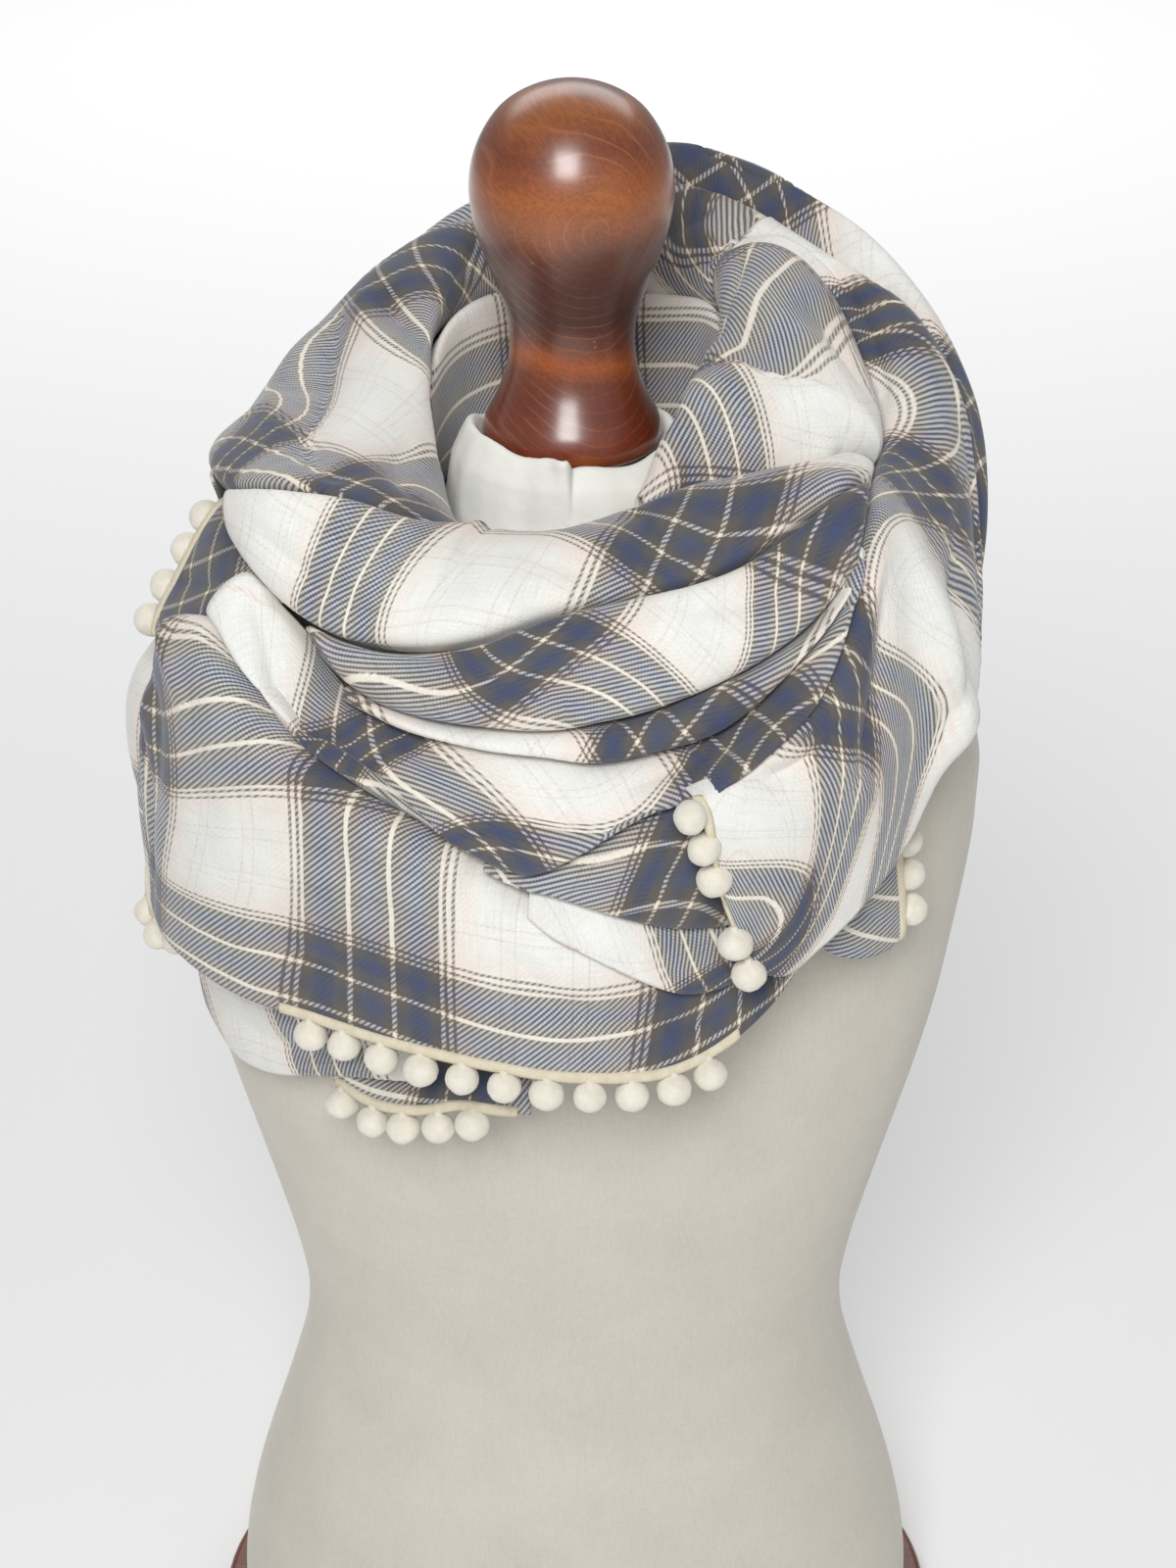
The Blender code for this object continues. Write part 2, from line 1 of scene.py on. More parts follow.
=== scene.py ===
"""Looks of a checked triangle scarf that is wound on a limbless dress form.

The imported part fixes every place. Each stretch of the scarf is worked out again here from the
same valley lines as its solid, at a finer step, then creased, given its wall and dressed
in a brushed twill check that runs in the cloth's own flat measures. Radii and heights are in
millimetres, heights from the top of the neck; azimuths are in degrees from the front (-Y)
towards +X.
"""

import logging
import math
from dataclasses import dataclass, field
from enum import Enum
from typing import Callable, NamedTuple, Optional, Sequence

import bmesh
import bpy
import numpy as np
from bpy.types import ID, Material, Node, NodeOutputs, NodeSocket, NodeTree, Object
from mathutils import Matrix, Vector, noise


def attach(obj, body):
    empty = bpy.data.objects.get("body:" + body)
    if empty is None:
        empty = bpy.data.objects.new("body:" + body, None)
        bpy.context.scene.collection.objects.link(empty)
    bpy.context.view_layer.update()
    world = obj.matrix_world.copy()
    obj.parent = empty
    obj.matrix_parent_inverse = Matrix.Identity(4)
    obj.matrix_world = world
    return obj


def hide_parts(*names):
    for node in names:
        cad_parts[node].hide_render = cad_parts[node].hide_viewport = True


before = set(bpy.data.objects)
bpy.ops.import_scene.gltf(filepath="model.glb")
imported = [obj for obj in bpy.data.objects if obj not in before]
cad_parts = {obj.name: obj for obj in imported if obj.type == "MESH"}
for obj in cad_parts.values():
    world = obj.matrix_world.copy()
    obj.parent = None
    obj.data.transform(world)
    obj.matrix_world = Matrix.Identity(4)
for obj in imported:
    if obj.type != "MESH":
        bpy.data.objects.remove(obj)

Array = np.ndarray
Pair = tuple[float, float]
Triple = tuple[float, float, float]
Four = tuple[float, float, float, float]

LOG = logging.getLogger("scarf")
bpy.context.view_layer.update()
MM = 0.001
BODY = "root"

# Measures that the solids share, in millimetres
CLOTH = 2.0            # wall of a solid
GAP = 0.4              # clearance between pieces that touch
TUCK = 8.0             # how far a stretch's edge turns in at a valley
HEM_EDGE = 3.0         # length of a hem's straight edge
NECK_TOP = 620.0       # height of the neck's top above the floor
PLATE_THICK = 18.0
PLATE_RIM = 12.0       # how far the base plate stands out past the torso's foot
REST_GAP = 1.7         # cloth's middle surface to the form
SIDE_SLOPE = 0.6       # the form counts as a side where it widens less than this
SLANT_REACH = 2.0      # degrees over which a valley's slant is read
SLANT_MOST = 3.5       # widest that a slant sets a gap, in gaps
BACK = 180.0           # azimuth of the middle of the back

# Measures of the cloth itself, in millimetres
WALL = 1.3             # thickness of the brushed flannel
REPEAT = 128.0         # one repeat of the check, the same both ways
FINE_STEP = 1.0        # degrees between sections
FINE_PITCH = 1.9       # spacing of points down a section
MOST_ACROSS = 110      # most points down a section
LEAN_REACH = 26.0      # degrees over which an end that leans stands upright again
CREASE_DEPTH = 1.35    # how much deeper than in their table the creases are pressed
CREASE_WIDTH = 0.9     # and how much narrower they are
CREASE_SOFT = 0.35     # rounding of a crease's middle line
CREASE_FADE = 0.6      # power by which a crease fades towards its ends
CREASE_TIP = 0.02      # share of its path beyond which it fades no further
CREASE_START = 0.06    # share of the way down over which the creases set in
HEM_FADE = 0.04        # share over which they fade before the lower edge
HEM_LEAST = 0.3        # how much of them is left at that edge
HEM_SLACK = 0.6        # degrees by which a hem's run reaches over
END_RADIUS = 100.0     # radius at which a stretch's ends stand back by the gap
BALL_PITCH = 16.4      # pom-poms along their braid
PIN_REACH = 55.0       # how far a pinned point draws the check with it
PIN_GIVE = 0.02        # how freely the check may miss a pin
KNOT_SLACK = 1e-6      # how far past a table's ends it may still be read
MERGE = 1e-7           # metres within which points are joined
FLAT_MAP = "flat"      # map of the cloth's own flat measures, in repeats of the check
THREAD_MAP = "thread"  # the same before the pinned points draw it, for the twill

# Patterns of the finishes
NOISE_LOW, NOISE_HIGH = 0.3, 0.7    # where most of a noise's values lie
TWILL_THREADS = 4.0    # threads in one step of the twill
TWILL_BREAKS = 1.5     # how often a twill line is broken in a step
TWILL_BREAK_DEPTH = 0.7     # and how far
TWILL_EDGE = (0.2, 0.8)     # between which one set of threads gives way to the other
WARP_SCALE = 14.0      # how fine the waver of the wood's rings is
WARP_REACH = 0.02      # and how far it takes them, in metres
PORE_SCALE = (900.0, 900.0, 60.0)   # pores, drawn out along the grain
SCUFF_EDGE = (0.70, 0.76)   # noise at which a worn fleck sets in and is full


class Line(NamedTuple):
    """A point of a valley line."""

    azimuth: float
    radius: float
    height: float


class Swell(NamedTuple):
    """How a stretch's section swells out between its two valleys."""

    azimuth: float
    upper: float
    lower: float
    turn_in: float
    hang: float


class Ring(NamedTuple):
    """An oval outline of the form at one height."""

    height: float
    half_width: float
    front: float
    back: float


class Turn(NamedTuple):
    """A point of a turned profile."""

    height: float
    radius: float


class Level(NamedTuple):
    """A level of the neck cover, share being how much of the rim's stand it takes."""

    share: float
    height: float
    radius: float


class Fold(NamedTuple):
    """Large even folds down a section."""

    depth: float
    lobes: float
    drift: float


class Crease(NamedTuple):
    """A soft ridge (depth over 0) or trough (depth under 0) laid on a stretch.

    It runs from an (azimuth, share) through a middle one to an end one, share being 0 at the
    stretch's upper edge and 1 at its lower edge. Depth and width are in millimetres.
    """

    azimuth: float
    share: float
    middle_azimuth: float
    middle_share: float
    end_azimuth: float
    end_share: float
    depth: float
    width: float


class Heading(NamedTuple):
    """Angle of the check's threads to a stretch's own run, at an azimuth."""

    azimuth: float
    angle: float


class Pin(NamedTuple):
    """A point of a stretch where the check's place is set, in repeats of the check."""

    azimuth: float
    share: float
    across: float
    along: float


class Weave(NamedTuple):
    """How the check lies on a stretch: the headings of its threads, then pinned points."""

    headings: list[Heading]
    pins: list[Pin]


class Side(Enum):
    """Edges of a stretch that a braid is sewn to."""

    START = "start"
    END = "end"
    HEM = "hem"


class Run(NamedTuple):
    """Part of an edge: by share on a side, by azimuth on a hem."""

    side: Side
    first: float
    last: float


class Slot(Enum):
    """Material slots of the record."""

    FLANNEL = "flannel"
    FELT = "pompom_felt"
    JERSEY = "form_jersey"
    COTTON = "neck_cotton"
    KNOB = "knob_wood"
    BASE = "base_wood"


def table(kind: Callable[..., tuple], *entries: tuple) -> list:
    """Make the rows of a table."""
    return [kind(*entry) for entry in entries]


# The core of the pile: every valley's edge tucks in towards it
CORE: list[Line] = table(
    Line, (0, 80, -72), (45, 94, -58), (90, 104, -38), (135, 102, 0), (180, 95, 5), (225, 96, -5),
    (270, 104, -45), (315, 90, -70))

VALLEYS: dict[str, list[Line]] = {
    # round the neck, at the foot of the innermost turn
    "throat": table(
        Line, (90, 66, -30), (135, 66, -28), (180, 66, -25), (225, 66, -28), (270, 66, -30)),
    # between the innermost turn and the loops
    "rim": table(
        Line, (-36, 70, -24), (0, 70, -22), (30, 60, -12), (60, 58, 2), (90, 60, 22),
        (110, 67, 34), (130, 76, 42), (150, 80, 40), (180, 78, 38), (210, 72, 42), (235, 66, 36),
        (255, 62, 22), (275, 60, 6), (300, 61, -10), (324, 70, -24), (336, 70, -24)),
    # between the puff on the right and the top roll
    "crease": table(
        Line, (18, 68, -14), (26, 74, -7), (34, 77, -3), (50, 84, -1), (58, 94, 4), (64, 106, 8),
        (70, 118, 13)),
    # between the loops and what lies outside them, from the right shoulder round the back
    "outer": table(
        Line, (54, 172, -104), (60, 172, -84), (68, 170, -66), (76, 166, -45), (84, 161, -19),
        (92, 155, 9), (100, 144, 32), (110, 131, 50), (122, 119, 62), (134, 111, 72),
        (155, 107, 78), (180, 110, 72), (205, 115, 58), (225, 120, 38), (248, 127, 8),
        (264, 138, -8), (276, 144, -2)),
    # the left loop's edge over the top roll, down to the front
    "lapel": table(
        Line, (276, 144, -2), (288, 147, 4), (297, 148, 6), (313, 139, 15), (320, 124, 10),
        (328, 100, -6), (336, 72, -18)),
    # between the top roll and the right-hand loop, then along the hanging end
    "cuff": table(
        Line, (18, 165, -80), (26, 165, -67), (36, 160, -49), (41, 156, -30), (46, 149, -8),
        (53, 139, 3), (60, 132, 6), (75, 125, 8), (90, 119, 20), (102, 112, 42), (112, 104, 56),
        (122, 94, 60), (132, 84, 50)),
    # between the top and the middle roll
    "one": table(
        Line, (-62, 149, -12), (-53, 150, -20), (-46, 147, -29), (-39, 142, -36), (-27, 130, -39),
        (-17, 124, -35), (-4, 116, -27), (10, 116, -21), (21, 118, -17), (32, 122, -10),
        (41, 128, 2), (50, 133, 11), (58, 134, 10)),
    # between the middle and the narrow roll
    "ledge": table(
        Line, (-50, 149, -24), (-45, 147, -27), (-38, 144, -49), (-32, 142, -57), (-24, 140, -62),
        (-13, 138, -64), (4, 136, -62), (14, 137, -56), (22, 139, -49), (30, 142, -41),
        (38, 146, -30), (48, 149, -8)),
    # between the narrow and the lower roll
    "two": table(
        Line, (-50, 150, -25), (-44, 147, -37), (-38, 144, -58), (-30, 142, -65), (-16, 141, -71),
        (-5, 140, -74), (3, 140, -76), (13, 141, -72), (22, 144, -65), (30, 148, -51),
        (37, 152, -34), (46, 152, -12)),
    # over the front panel's top edge, then over the small roll
    "three": table(
        Line, (-72, 178, -98), (-66, 177, -70), (-61, 172, -44), (-56, 169, -34), (-46, 170, -49),
        (-38, 168, -67), (-29, 165, -82), (-21, 162, -94), (-13, 157, -106), (-6, 155, -113),
        (2, 154, -105), (12, 154, -90), (20, 153, -84), (30, 150, -84)),
    # between the small roll and the panel's fold
    "four": table(
        Line, (-15, 157, -106), (-8, 155, -117), (-2, 154, -123), (8, 155, -132), (16, 154, -139),
        (24, 152, -143), (32, 150, -141)),
    # between the panel's fold and the panel
    "five": table(
        Line, (-15, 157, -106), (-8, 158, -124), (-3, 160, -136), (3, 160, -147), (10, 159, -158),
        (15, 157, -166), (21, 155, -168), (27, 153, -164), (32, 152, -156), (36, 152, -148)),
    # front panel's hem
    "hem": table(
        Line, (-72, 184, -176), (-62, 186, -178), (-54, 184, -180), (-46, 179, -183),
        (-39, 173, -184), (-24, 168, -187), (-11, 166, -191), (2, 166, -195), (15, 164, -195),
        (24, 161, -186), (30, 160, -174), (36, 158, -158)),
    # hem under the hanging end
    "tip": table(
        Line, (18, 168, -120), (22, 170, -148), (26, 172, -156), (33, 172, -149), (45, 173, -128),
        (54, 174, -104), (60, 175, -84)),
    # foot of the outer turn, on the shoulders and the back
    "base": table(
        Line, (54, 158, -138), (60, 158, -126), (68, 157, -108), (78, 150, -98), (90, 146, -92),
        (120, 126, -94), (150, 106, -98), (180, 96, -100), (210, 106, -98), (240, 126, -94),
        (265, 144, -88), (280, 148, -84)),
    # left strip: its top lies under the top roll, its foot on the panel's edge
    "strip_top": table(Line, (282, 139, -12), (290, 140, -15), (300, 140, -20), (312, 139, -31)),
    "strip_foot": table(Line, (282, 172, -69), (290, 167, -64), (300, 159, -51), (312, 156, -50)),
    # cloth under the panel's left edge
    "under_top": table(
        Line, (270, 178, -92), (276, 178, -90), (282, 175.5, -91), (288, 169.5, -95),
        (300, 154, -102)),
    "under_foot": table(
        Line, (270, 183, -180), (276, 183, -192), (288, 174, -188), (300, 166, -184)),
    # puffed fold below the hem
    "fold_top": table(
        Line, (-72, 166, -192), (-66, 164, -194), (-54, 160, -196), (-42, 152, -198),
        (-30, 148, -203), (-24, 147, -208)),
    "fold_foot": table(
        Line, (-72, 159, -238), (-66, 155.5, -246), (-56, 153, -242), (-46, 149, -234),
        (-36, 147, -224), (-24, 146, -216)),
    # end of the scarf below that fold
    "end_top": table(Line, (-42, 137, -212), (-30, 136, -208), (-18, 136, -202), (-6, 136, -198)),
    "end_hem": table(
        Line, (-42, 146, -232), (-32, 149, -233), (-24, 150, -229), (-16, 150, -222),
        (-12, 150, -222), (-6, 149, -222)),
    # second end, behind the hanging one
    "back_top": table(
        Line, (30, 141, -130), (36, 147, -128), (42, 155, -125), (48, 158, -122), (60, 158, -132)),
    "back_hem": table(
        Line, (30, 142, -148), (36, 148, -156), (42, 158, -168), (51, 164, -172), (60, 164, -162)),
}

# The form: rings from the neck's top down to the plate
TORSO: list[Ring] = table(
    Ring, (-4, 46, 46, 46), (-30, 48, 48, 50), (-45, 54, 52, 58), (-58, 74, 56, 68),
    (-70, 100, 62, 78), (-84, 132, 70, 86), (-98, 156, 78, 94), (-112, 168, 84, 100),
    (-135, 173, 92, 105), (-170, 172, 100, 108), (-220, 165, 108, 109), (-260, 158, 111, 106),
    (-320, 142, 102, 97), (-380, 127, 91, 88), (-420, 122, 87, 84), (-470, 136, 93, 93),
    (-530, 156, 101, 108), (-580, 165, 104, 116), (PLATE_THICK + GAP - NECK_TOP, 163, 103, 115))
TORSO_POWER = 2.2       # 2 is an ellipse, more is squarer

# Turned neck knob, from the rim of its foot to the top of its ball
KNOB: list[Turn] = table(
    Turn, (0, 33), (2, 35), (7, 36), (12, 35), (20, 31), (30, 27), (42, 25), (52, 25.5), (64, 29),
    (78, 34.5), (92, 38.6), (104, 40), (116, 38.6), (127, 34), (136, 27), (142, 17.5), (145, 8),
    (145.5, 2))

# The neck cover, from inside the rim over its top and down
COVER: list[Level] = table(
    Level, (0.0, -1.0, 37.6), (0.4, 0.0, 38.2), (0.85, 0.6, 39.4), (1.0, 1.4, 41.0),
    (0.9, 0.8, 42.8), (0.6, -0.8, 45.2), (0.25, -4.0, 48.4), (0.05, -9.0, 49.8),
    (0.0, -16.0, 50.9), (0.0, -26.0, 52.9), (0.0, -38.0, 56.4), (0.0, -45.0, 61.0),
    (0.0, -51.0, 67.5))


@dataclass(frozen=True)
class Stretch:
    """One stretch of the scarf: its edges, its swelling, its creases and its check."""

    start: float
    end: float
    upper: list[str]
    lower: list[str]
    swells: list[Swell]
    rests_on: list[str]
    weave: Weave
    creases: list[Crease] = field(default_factory=list)
    fold: Optional[Fold] = None
    lean: Pair = (0.0, 0.0)
    end_lean: Pair = (0.0, 0.0)


STRETCHES: dict[str, Stretch] = {
    "inner_wrap": Stretch(
        90, 270, ["throat"], ["rim"],
        table(Swell, (90, 10, 10, 8, 0), (180, 14, 14, 8, 0), (270, 10, 10, 8, 0)),
        ["neck_cover"],
        Weave(table(Heading, (90, 20), (270, -10)),
              table(Pin, (180, 0.5, 0, 0.05)))),
    "left_loop": Stretch(
        179.77, 330, ["rim"], ["outer", "lapel"],
        table(
            Swell, (179.7, 34, 26, 8, 0), (210, 36, 28, 8, 0), (240, 40, 26, 8, 0),
            (270, 52, 26, 20, 0), (300, 46, 22, 24, 0), (330, 10, 6, 14, 0)),
        ["torso", "left_back"],
        Weave(table(Heading, (180, 51), (270, 51), (300, 30), (330, 0)),
              table(
                  Pin, (229, 0.55, 0, 0), (287, 0.44, 0.5, 0.5), (320, 0.9, 1, 1),
                  (245, 0.8, 0, 0.45), (284, 0.82, -0.25, 0.9), (181, 0.05, -0.25, -0.52),
                  (181, 0.44, -0.5, -0.38), (181, 0.95, -0.72, -0.27))),
        table(
            Crease, (240, 0.7, 275, 0.57, 322, 0.89, -6, 7),
            (240, 0.84, 268, 0.71, 302, 0.78, 3.5, 9), (236, 0.62, 250, 0.45, 262, 0.28, 4, 6),
            (236, 0.52, 247, 0.36, 257, 0.2, -5, 6), (205, 0.45, 215, 0.3, 235, 0.12, -4, 8),
            (300, 0.35, 312, 0.5, 322, 0.66, -2.5, 6), (186, 0.35, 205, 0.6, 228, 0.84, -4.5, 8),
            (264, 0.25, 285, 0.2, 304, 0.26, -2, 8))),
    "right_loop": Stretch(
        18, 180.23, ["cuff", "rim"], ["tip", "outer"],
        table(
            Swell, (18, 8, 20, 8, 1), (30, 14, 40, 3, 1), (50, 24, 50, 3, 1), (62, 20, 26, 8, 0),
            (90, 22, 20, 8, 0), (110, 16, 14, 8, 0), (130, 26, 10, 8, 0), (180.3, 34, 10, 8, 0)),
        ["torso", "outer_loop"],
        Weave(table(
            Heading, (18, -105), (34, -117), (53, -130), (70, -110), (99, -103), (180, -110)),
              table(
                  Pin, (69, 0.24, 0, 1), (99, 0.49, 0, 0), (53, 0.35, 0.5, 1.5), (38, 0.1, 0, 2),
                  (49, 0.62, 0.45, 1.95), (22, 0.24, -0.5, 2.5), (30, 0.78, -0.1, 2.86),
                  (19, 1, -0.47, 3.02), (119, 0.58, 0.45, -0.5), (148, 0.4, 0, -0.8),
                  (179, 0.05, -0.75, -0.48), (179, 0.5, -0.5, -0.62), (179, 0.95, -0.28, -0.73))),
        table(
            Crease, (119, 0.4, 102, 0.3, 84, 0.16, -5, 7), (106, 0.52, 86, 0.44, 62, 0.42, 3, 11),
            (72, 0.52, 62, 0.62, 51, 0.84, -4.5, 8), (48, 0.12, 44, 0.3, 37, 0.46, -5, 7),
            (24, 0.08, 30, 0.17, 37, 0.17, -5, 6), (36, 0.26, 38, 0.42, 41, 0.66, 3, 8),
            (92, 0.6, 80, 0.74, 66, 0.88, -4, 7), (22, 0.92, 24, 0.72, 27, 0.52, -1.6, 5),
            (136, 0.3, 124, 0.55, 104, 0.8, -4, 8), (160, 0.35, 150, 0.55, 140, 0.75, -4, 8)),
        lean=(-2.6, 1.6)),
    "outer_loop": Stretch(
        65, 204.23, ["outer"], ["base"],
        table(
            Swell, (60, 8, 8, 4, 0), (78, 8, 10, 4, 0), (90, 30, 22, 8, 0), (105, 68, 40, 8, 0),
            (120, 94, 60, 8, 0), (150, 106, 64, 8, 0), (180, 82, 60, 8, 0), (204.3, 26, 40, 8, 0)),
        ["torso"],
        Weave(table(Heading, (60, -130), (204, -135)),
              table(Pin, (138, 0.1, 0, 0), (111, 0.13, 0.5, 0.5), (92, 0.15, 1, 1))),
        table(
            Crease, (152, 0.08, 136, 0.13, 118, 0.08, -2, 7),
            (192, 0.28, 165, 0.4, 136, 0.34, -6, 8), (178, 0.6, 142, 0.7, 102, 0.6, -5, 9),
            (132, 0.82, 112, 0.72, 88, 0.8, -4, 8), (110, 0.28, 96, 0.42, 84, 0.56, -5, 8),
            (198, 0.5, 184, 0.56, 162, 0.5, 4, 8), (196, 0.18, 160, 0.27, 128, 0.22, -3.5, 12),
            (200, 0.66, 168, 0.73, 130, 0.76, -4.5, 10), (186, 0.4, 160, 0.5, 138, 0.46, 4.5, 11)),
        fold=Fold(9, 3, 0.5)),
    "left_back": Stretch(
        203.77, 276, ["outer"], ["base"],
        table(Swell, (203.7, 26, 40, 8, 0), (240, 14, 24, 8, 0), (276, 4, 6, 8, 0)),
        ["torso"],
        Weave(table(Heading, (204, -135), (276, -130)),
              table(Pin, (205, 0.1, 0.32, 0.3), (205, 0.5, 0.73, -0.11), (205, 0.9, 1.14, -0.52))),
        table(
            Crease, (206, 0.3, 232, 0.4, 264, 0.28, -5, 7),
            (210, 0.66, 240, 0.58, 270, 0.7, -5, 8), (222, 0.12, 240, 0.2, 256, 0.12, -3, 6)),
        fold=Fold(9, 3, 0.5), end_lean=(4.0, 12.0)),
    "right_puff": Stretch(
        24, 126, ["rim"], ["crease", "cuff"],
        table(
            Swell, (24, 16, 14, 24, 0), (42, 46, 24, 20, 0), (60, 62, 36, 16, 0),
            (90, 62, 36, 10, 0), (110, 44, 26, 8, 0), (126, 26, 18, 8, 0)),
        ["top_roll", "right_loop"],
        Weave(table(Heading, (24, -8), (60, -18), (100, -55), (126, -60)),
              table(
                  Pin, (67, 0.8, 0.5, 0.5), (53, 0.63, 0, 0.6), (98, 0.3, 0.42, -0.05),
                  (108, 0.54, 0.62, 0))),
        table(
            Crease, (96, 0.26, 80, 0.42, 58, 0.72, -5, 9), (101, 0.42, 85, 0.57, 63, 0.82, 3, 10),
            (120, 0.58, 104, 0.36, 90, 0.18, -4.5, 6), (50, 0.55, 42, 0.75, 32, 0.9, -3, 6),
            (96, 0.62, 86, 0.72, 76, 0.8, -3, 5), (66, 0.3, 54, 0.4, 42, 0.5, -3, 7))),
    "top_roll": Stretch(
        -60, 66, ["rim", "lapel", "crease"], ["one", "cuff"],
        table(
            Swell, (-60, 8, 8, 8, 0), (-48, 14, 14, 8, 0), (-36, 26, 16, 10, 0),
            (-24, 36, 20, 20, 0), (0, 38, 20, 24, 0), (24, 28, 18, 10, 0), (48, 20, 18, 8, 0),
            (66, 8, 8, 8, 0)),
        ["middle_roll"],
        Weave(table(Heading, (-60, 5), (-38, -6), (5, -25), (24, -40), (66, -60)),
              table(
                  Pin, (23, 0.71, 1, 0), (-18, 0.71, 0.5, 0.5), (-37, 0.56, 0, 0.5),
                  (-48, 0.39, -0.48, 0.5))),
        table(
            Crease, (-54, 0.42, -41, 0.62, -27, 0.82, -3, 7),
            (-22, 0.35, 4, 0.46, 28, 0.38, -2, 9), (8, 0.8, 28, 0.7, 50, 0.66, -3, 7),
            (-10, 0.62, 2, 0.78, 16, 0.9, -1.6, 6), (36, 0.3, 48, 0.4, 60, 0.36, -3, 6))),
    "middle_roll": Stretch(
        -42, 54, ["one"], ["ledge", "cuff"],
        table(
            Swell, (-42, 6, 6, 8, 0), (-24, 12, 12, 8, 0), (0, 16, 13, 8, 0), (30, 14, 12, 8, 0),
            (54, 6, 6, 8, 0)),
        ["narrow_roll"],
        Weave(table(Heading, (-42, -35), (-10, -38), (7, -44), (38, -64), (54, -70)),
              table(
                  Pin, (-10, 0.32, 0, 0), (4, 0.57, 0.35, 0.02), (21, 0.46, 0.5, -0.5),
                  (35, 0.46, 1, -0.75), (-34, 0.25, 0, 0.62))),
        table(
            Crease, (-36, 0.15, -20, 0.28, -4, 0.22, -2, 6),
            (-26, 0.72, 0, 0.62, 20, 0.7, -2.5, 8), (16, 0.28, 31, 0.44, 46, 0.38, -3, 7),
            (-13, 0.42, -2, 0.62, 6, 0.88, -1.8, 5))),
    "narrow_roll": Stretch(
        -36, 47, ["ledge"], ["two", "cuff"],
        table(Swell, (-36, 5, 5, 8, 0), (-20, 6, 6, 8, 0), (12, 8, 8, 8, 0), (47, 4, 4, 8, 0)),
        ["lower_roll"],
        Weave(table(Heading, (-36, -45), (42, -60)),
              table(Pin, (-10, 0.5, 0.5, 0.5), (13, 0.5, 1, 0))),
        table(Crease, (-24, 0.5, 0, 0.6, 22, 0.45, -1.5, 6))),
    "lower_roll": Stretch(
        -54, 46, ["one", "two"], ["three", "cuff"],
        table(
            Swell, (-54, 8, 8, 8, 0), (-36, 12, 12, 8, 0), (0, 13, 12, 8, 0), (24, 10, 10, 8, 0),
            (46, 4, 4, 8, 0)),
        ["front_panel"],
        Weave(table(Heading, (-54, -25), (-35, -36), (-19, -42), (-10, -52), (7, -78), (42, -90)),
              table(
                  Pin, (-31, 0.5, 0, 0), (-12, 0.82, 1, 0), (25, 0.38, 1, -1), (1, 0.2, 0.5, -0.5),
                  (-44, 0.5, -0.5, 0.4))),
        table(
            Crease, (-51, 0.28, -43, 0.5, -37, 0.84, -4, 7),
            (-34, 0.26, -28, 0.58, -15, 0.82, -5, 8), (-30, 0.08, -22, 0.28, -13, 0.46, -3, 7),
            (4, 0.46, 19, 0.34, 34, 0.42, -3, 7), (-10, 0.3, 0, 0.56, 14, 0.72, -3, 8))),
    "small_roll": Stretch(
        -12, 24, ["three"], ["four"],
        table(Swell, (-12, 5, 5, 8, 0), (0, 9, 8, 8, 0), (12, 10, 10, 8, 0), (24, 8, 8, 8, 0)),
        ["panel_fold"],
        Weave(table(Heading, (-12, -20), (12, -40), (24, -40)),
              table(Pin, (1, 0.55, 0.6, 0), (16, 0.49, 1, 0))),
        table(Crease, (-6, 0.45, 6, 0.55, 18, 0.42, -2, 5))),
    "panel_fold": Stretch(
        -6, 30, ["four"], ["five"],
        table(Swell, (-6, 5, 5, 8, 0), (8, 9, 9, 8, 0), (30, 6, 6, 8, 0)),
        ["front_panel"],
        Weave(table(Heading, (-6, 48), (7, 48), (20, 30), (30, 28)),
              table(Pin, (18, 0.28, 2, 0.5), (22, 0.76, 2, 1), (2, 0.28, 1.5, 0.5))),
        table(Crease, (-2, 0.5, 10, 0.6, 22, 0.45, -1.5, 6))),
    "front_panel": Stretch(
        -72, 36, ["three", "five"], ["hem"],
        table(
            Swell, (-72, 12, 50, 8, 1), (-54, 30, 70, 8, 1), (-30, 22, 60, 8, 1),
            (0, 10, 26, 8, 1), (24, 4, 8, 5, 1), (36, 2, 3, 1, 1)),
        ["torso", "lower_roll"],
        Weave(table(Heading, (-72, 0), (36, 0)),
              table(
                  Pin, (-27, 1, 1, 1.11), (-27, 0.86, 1, 1), (-47, 0.58, 0.5, 0.5),
                  (-46, 0.2, 0.5, 0), (22, 0.55, 2, 1), (20, 1, 2, 1.12), (-62, 0.36, 0.05, 0),
                  (-54, 1, 0.5, 1.11))),
        table(
            Crease, (-66, 0.12, -60, 0.34, -64, 0.62, -3.5, 8),
            (-56, 0.08, -50, 0.3, -51, 0.56, -1.6, 10), (-40, 0.08, -30, 0.34, -18, 0.5, -2, 12),
            (-13, 0.3, 0, 0.5, 12, 0.62, -3, 9), (-48, 0.94, -40, 0.8, -30, 0.8, -1.6, 6),
            (8, 0.42, 18, 0.56, 28, 0.62, -3, 6), (-70, 0.06, -66, 0.4, -69, 0.88, -4.5, 6),
            (-60, 0.04, -57, 0.16, -50, 0.3, 3, 6))),
    "left_strip": Stretch(
        282, 306, ["strip_top"], ["strip_foot"],
        table(Swell, (282, 6, 6, 8, 0), (306, 6, 6, 8, 0)),
        ["front_panel"],
        Weave(table(Heading, (282, 30), (306, 30)),
              table(Pin, (290, 0.5, 0, 0))),
        table(Crease, (284, 0.6, 292, 0.5, 302, 0.55, -2, 5))),
    "left_under": Stretch(
        270, 294, ["under_top"], ["under_foot"],
        table(Swell, (270, 12, 30, 8, 1), (282, 22, 42, 8, 1), (294, 4, 20, 8, 1)),
        ["torso", "front_panel"],
        Weave(table(Heading, (270, 0), (294, 0)),
              table(Pin, (275, 0.26, 0.5, 0.5), (278, 0.56, 0.6, 1))),
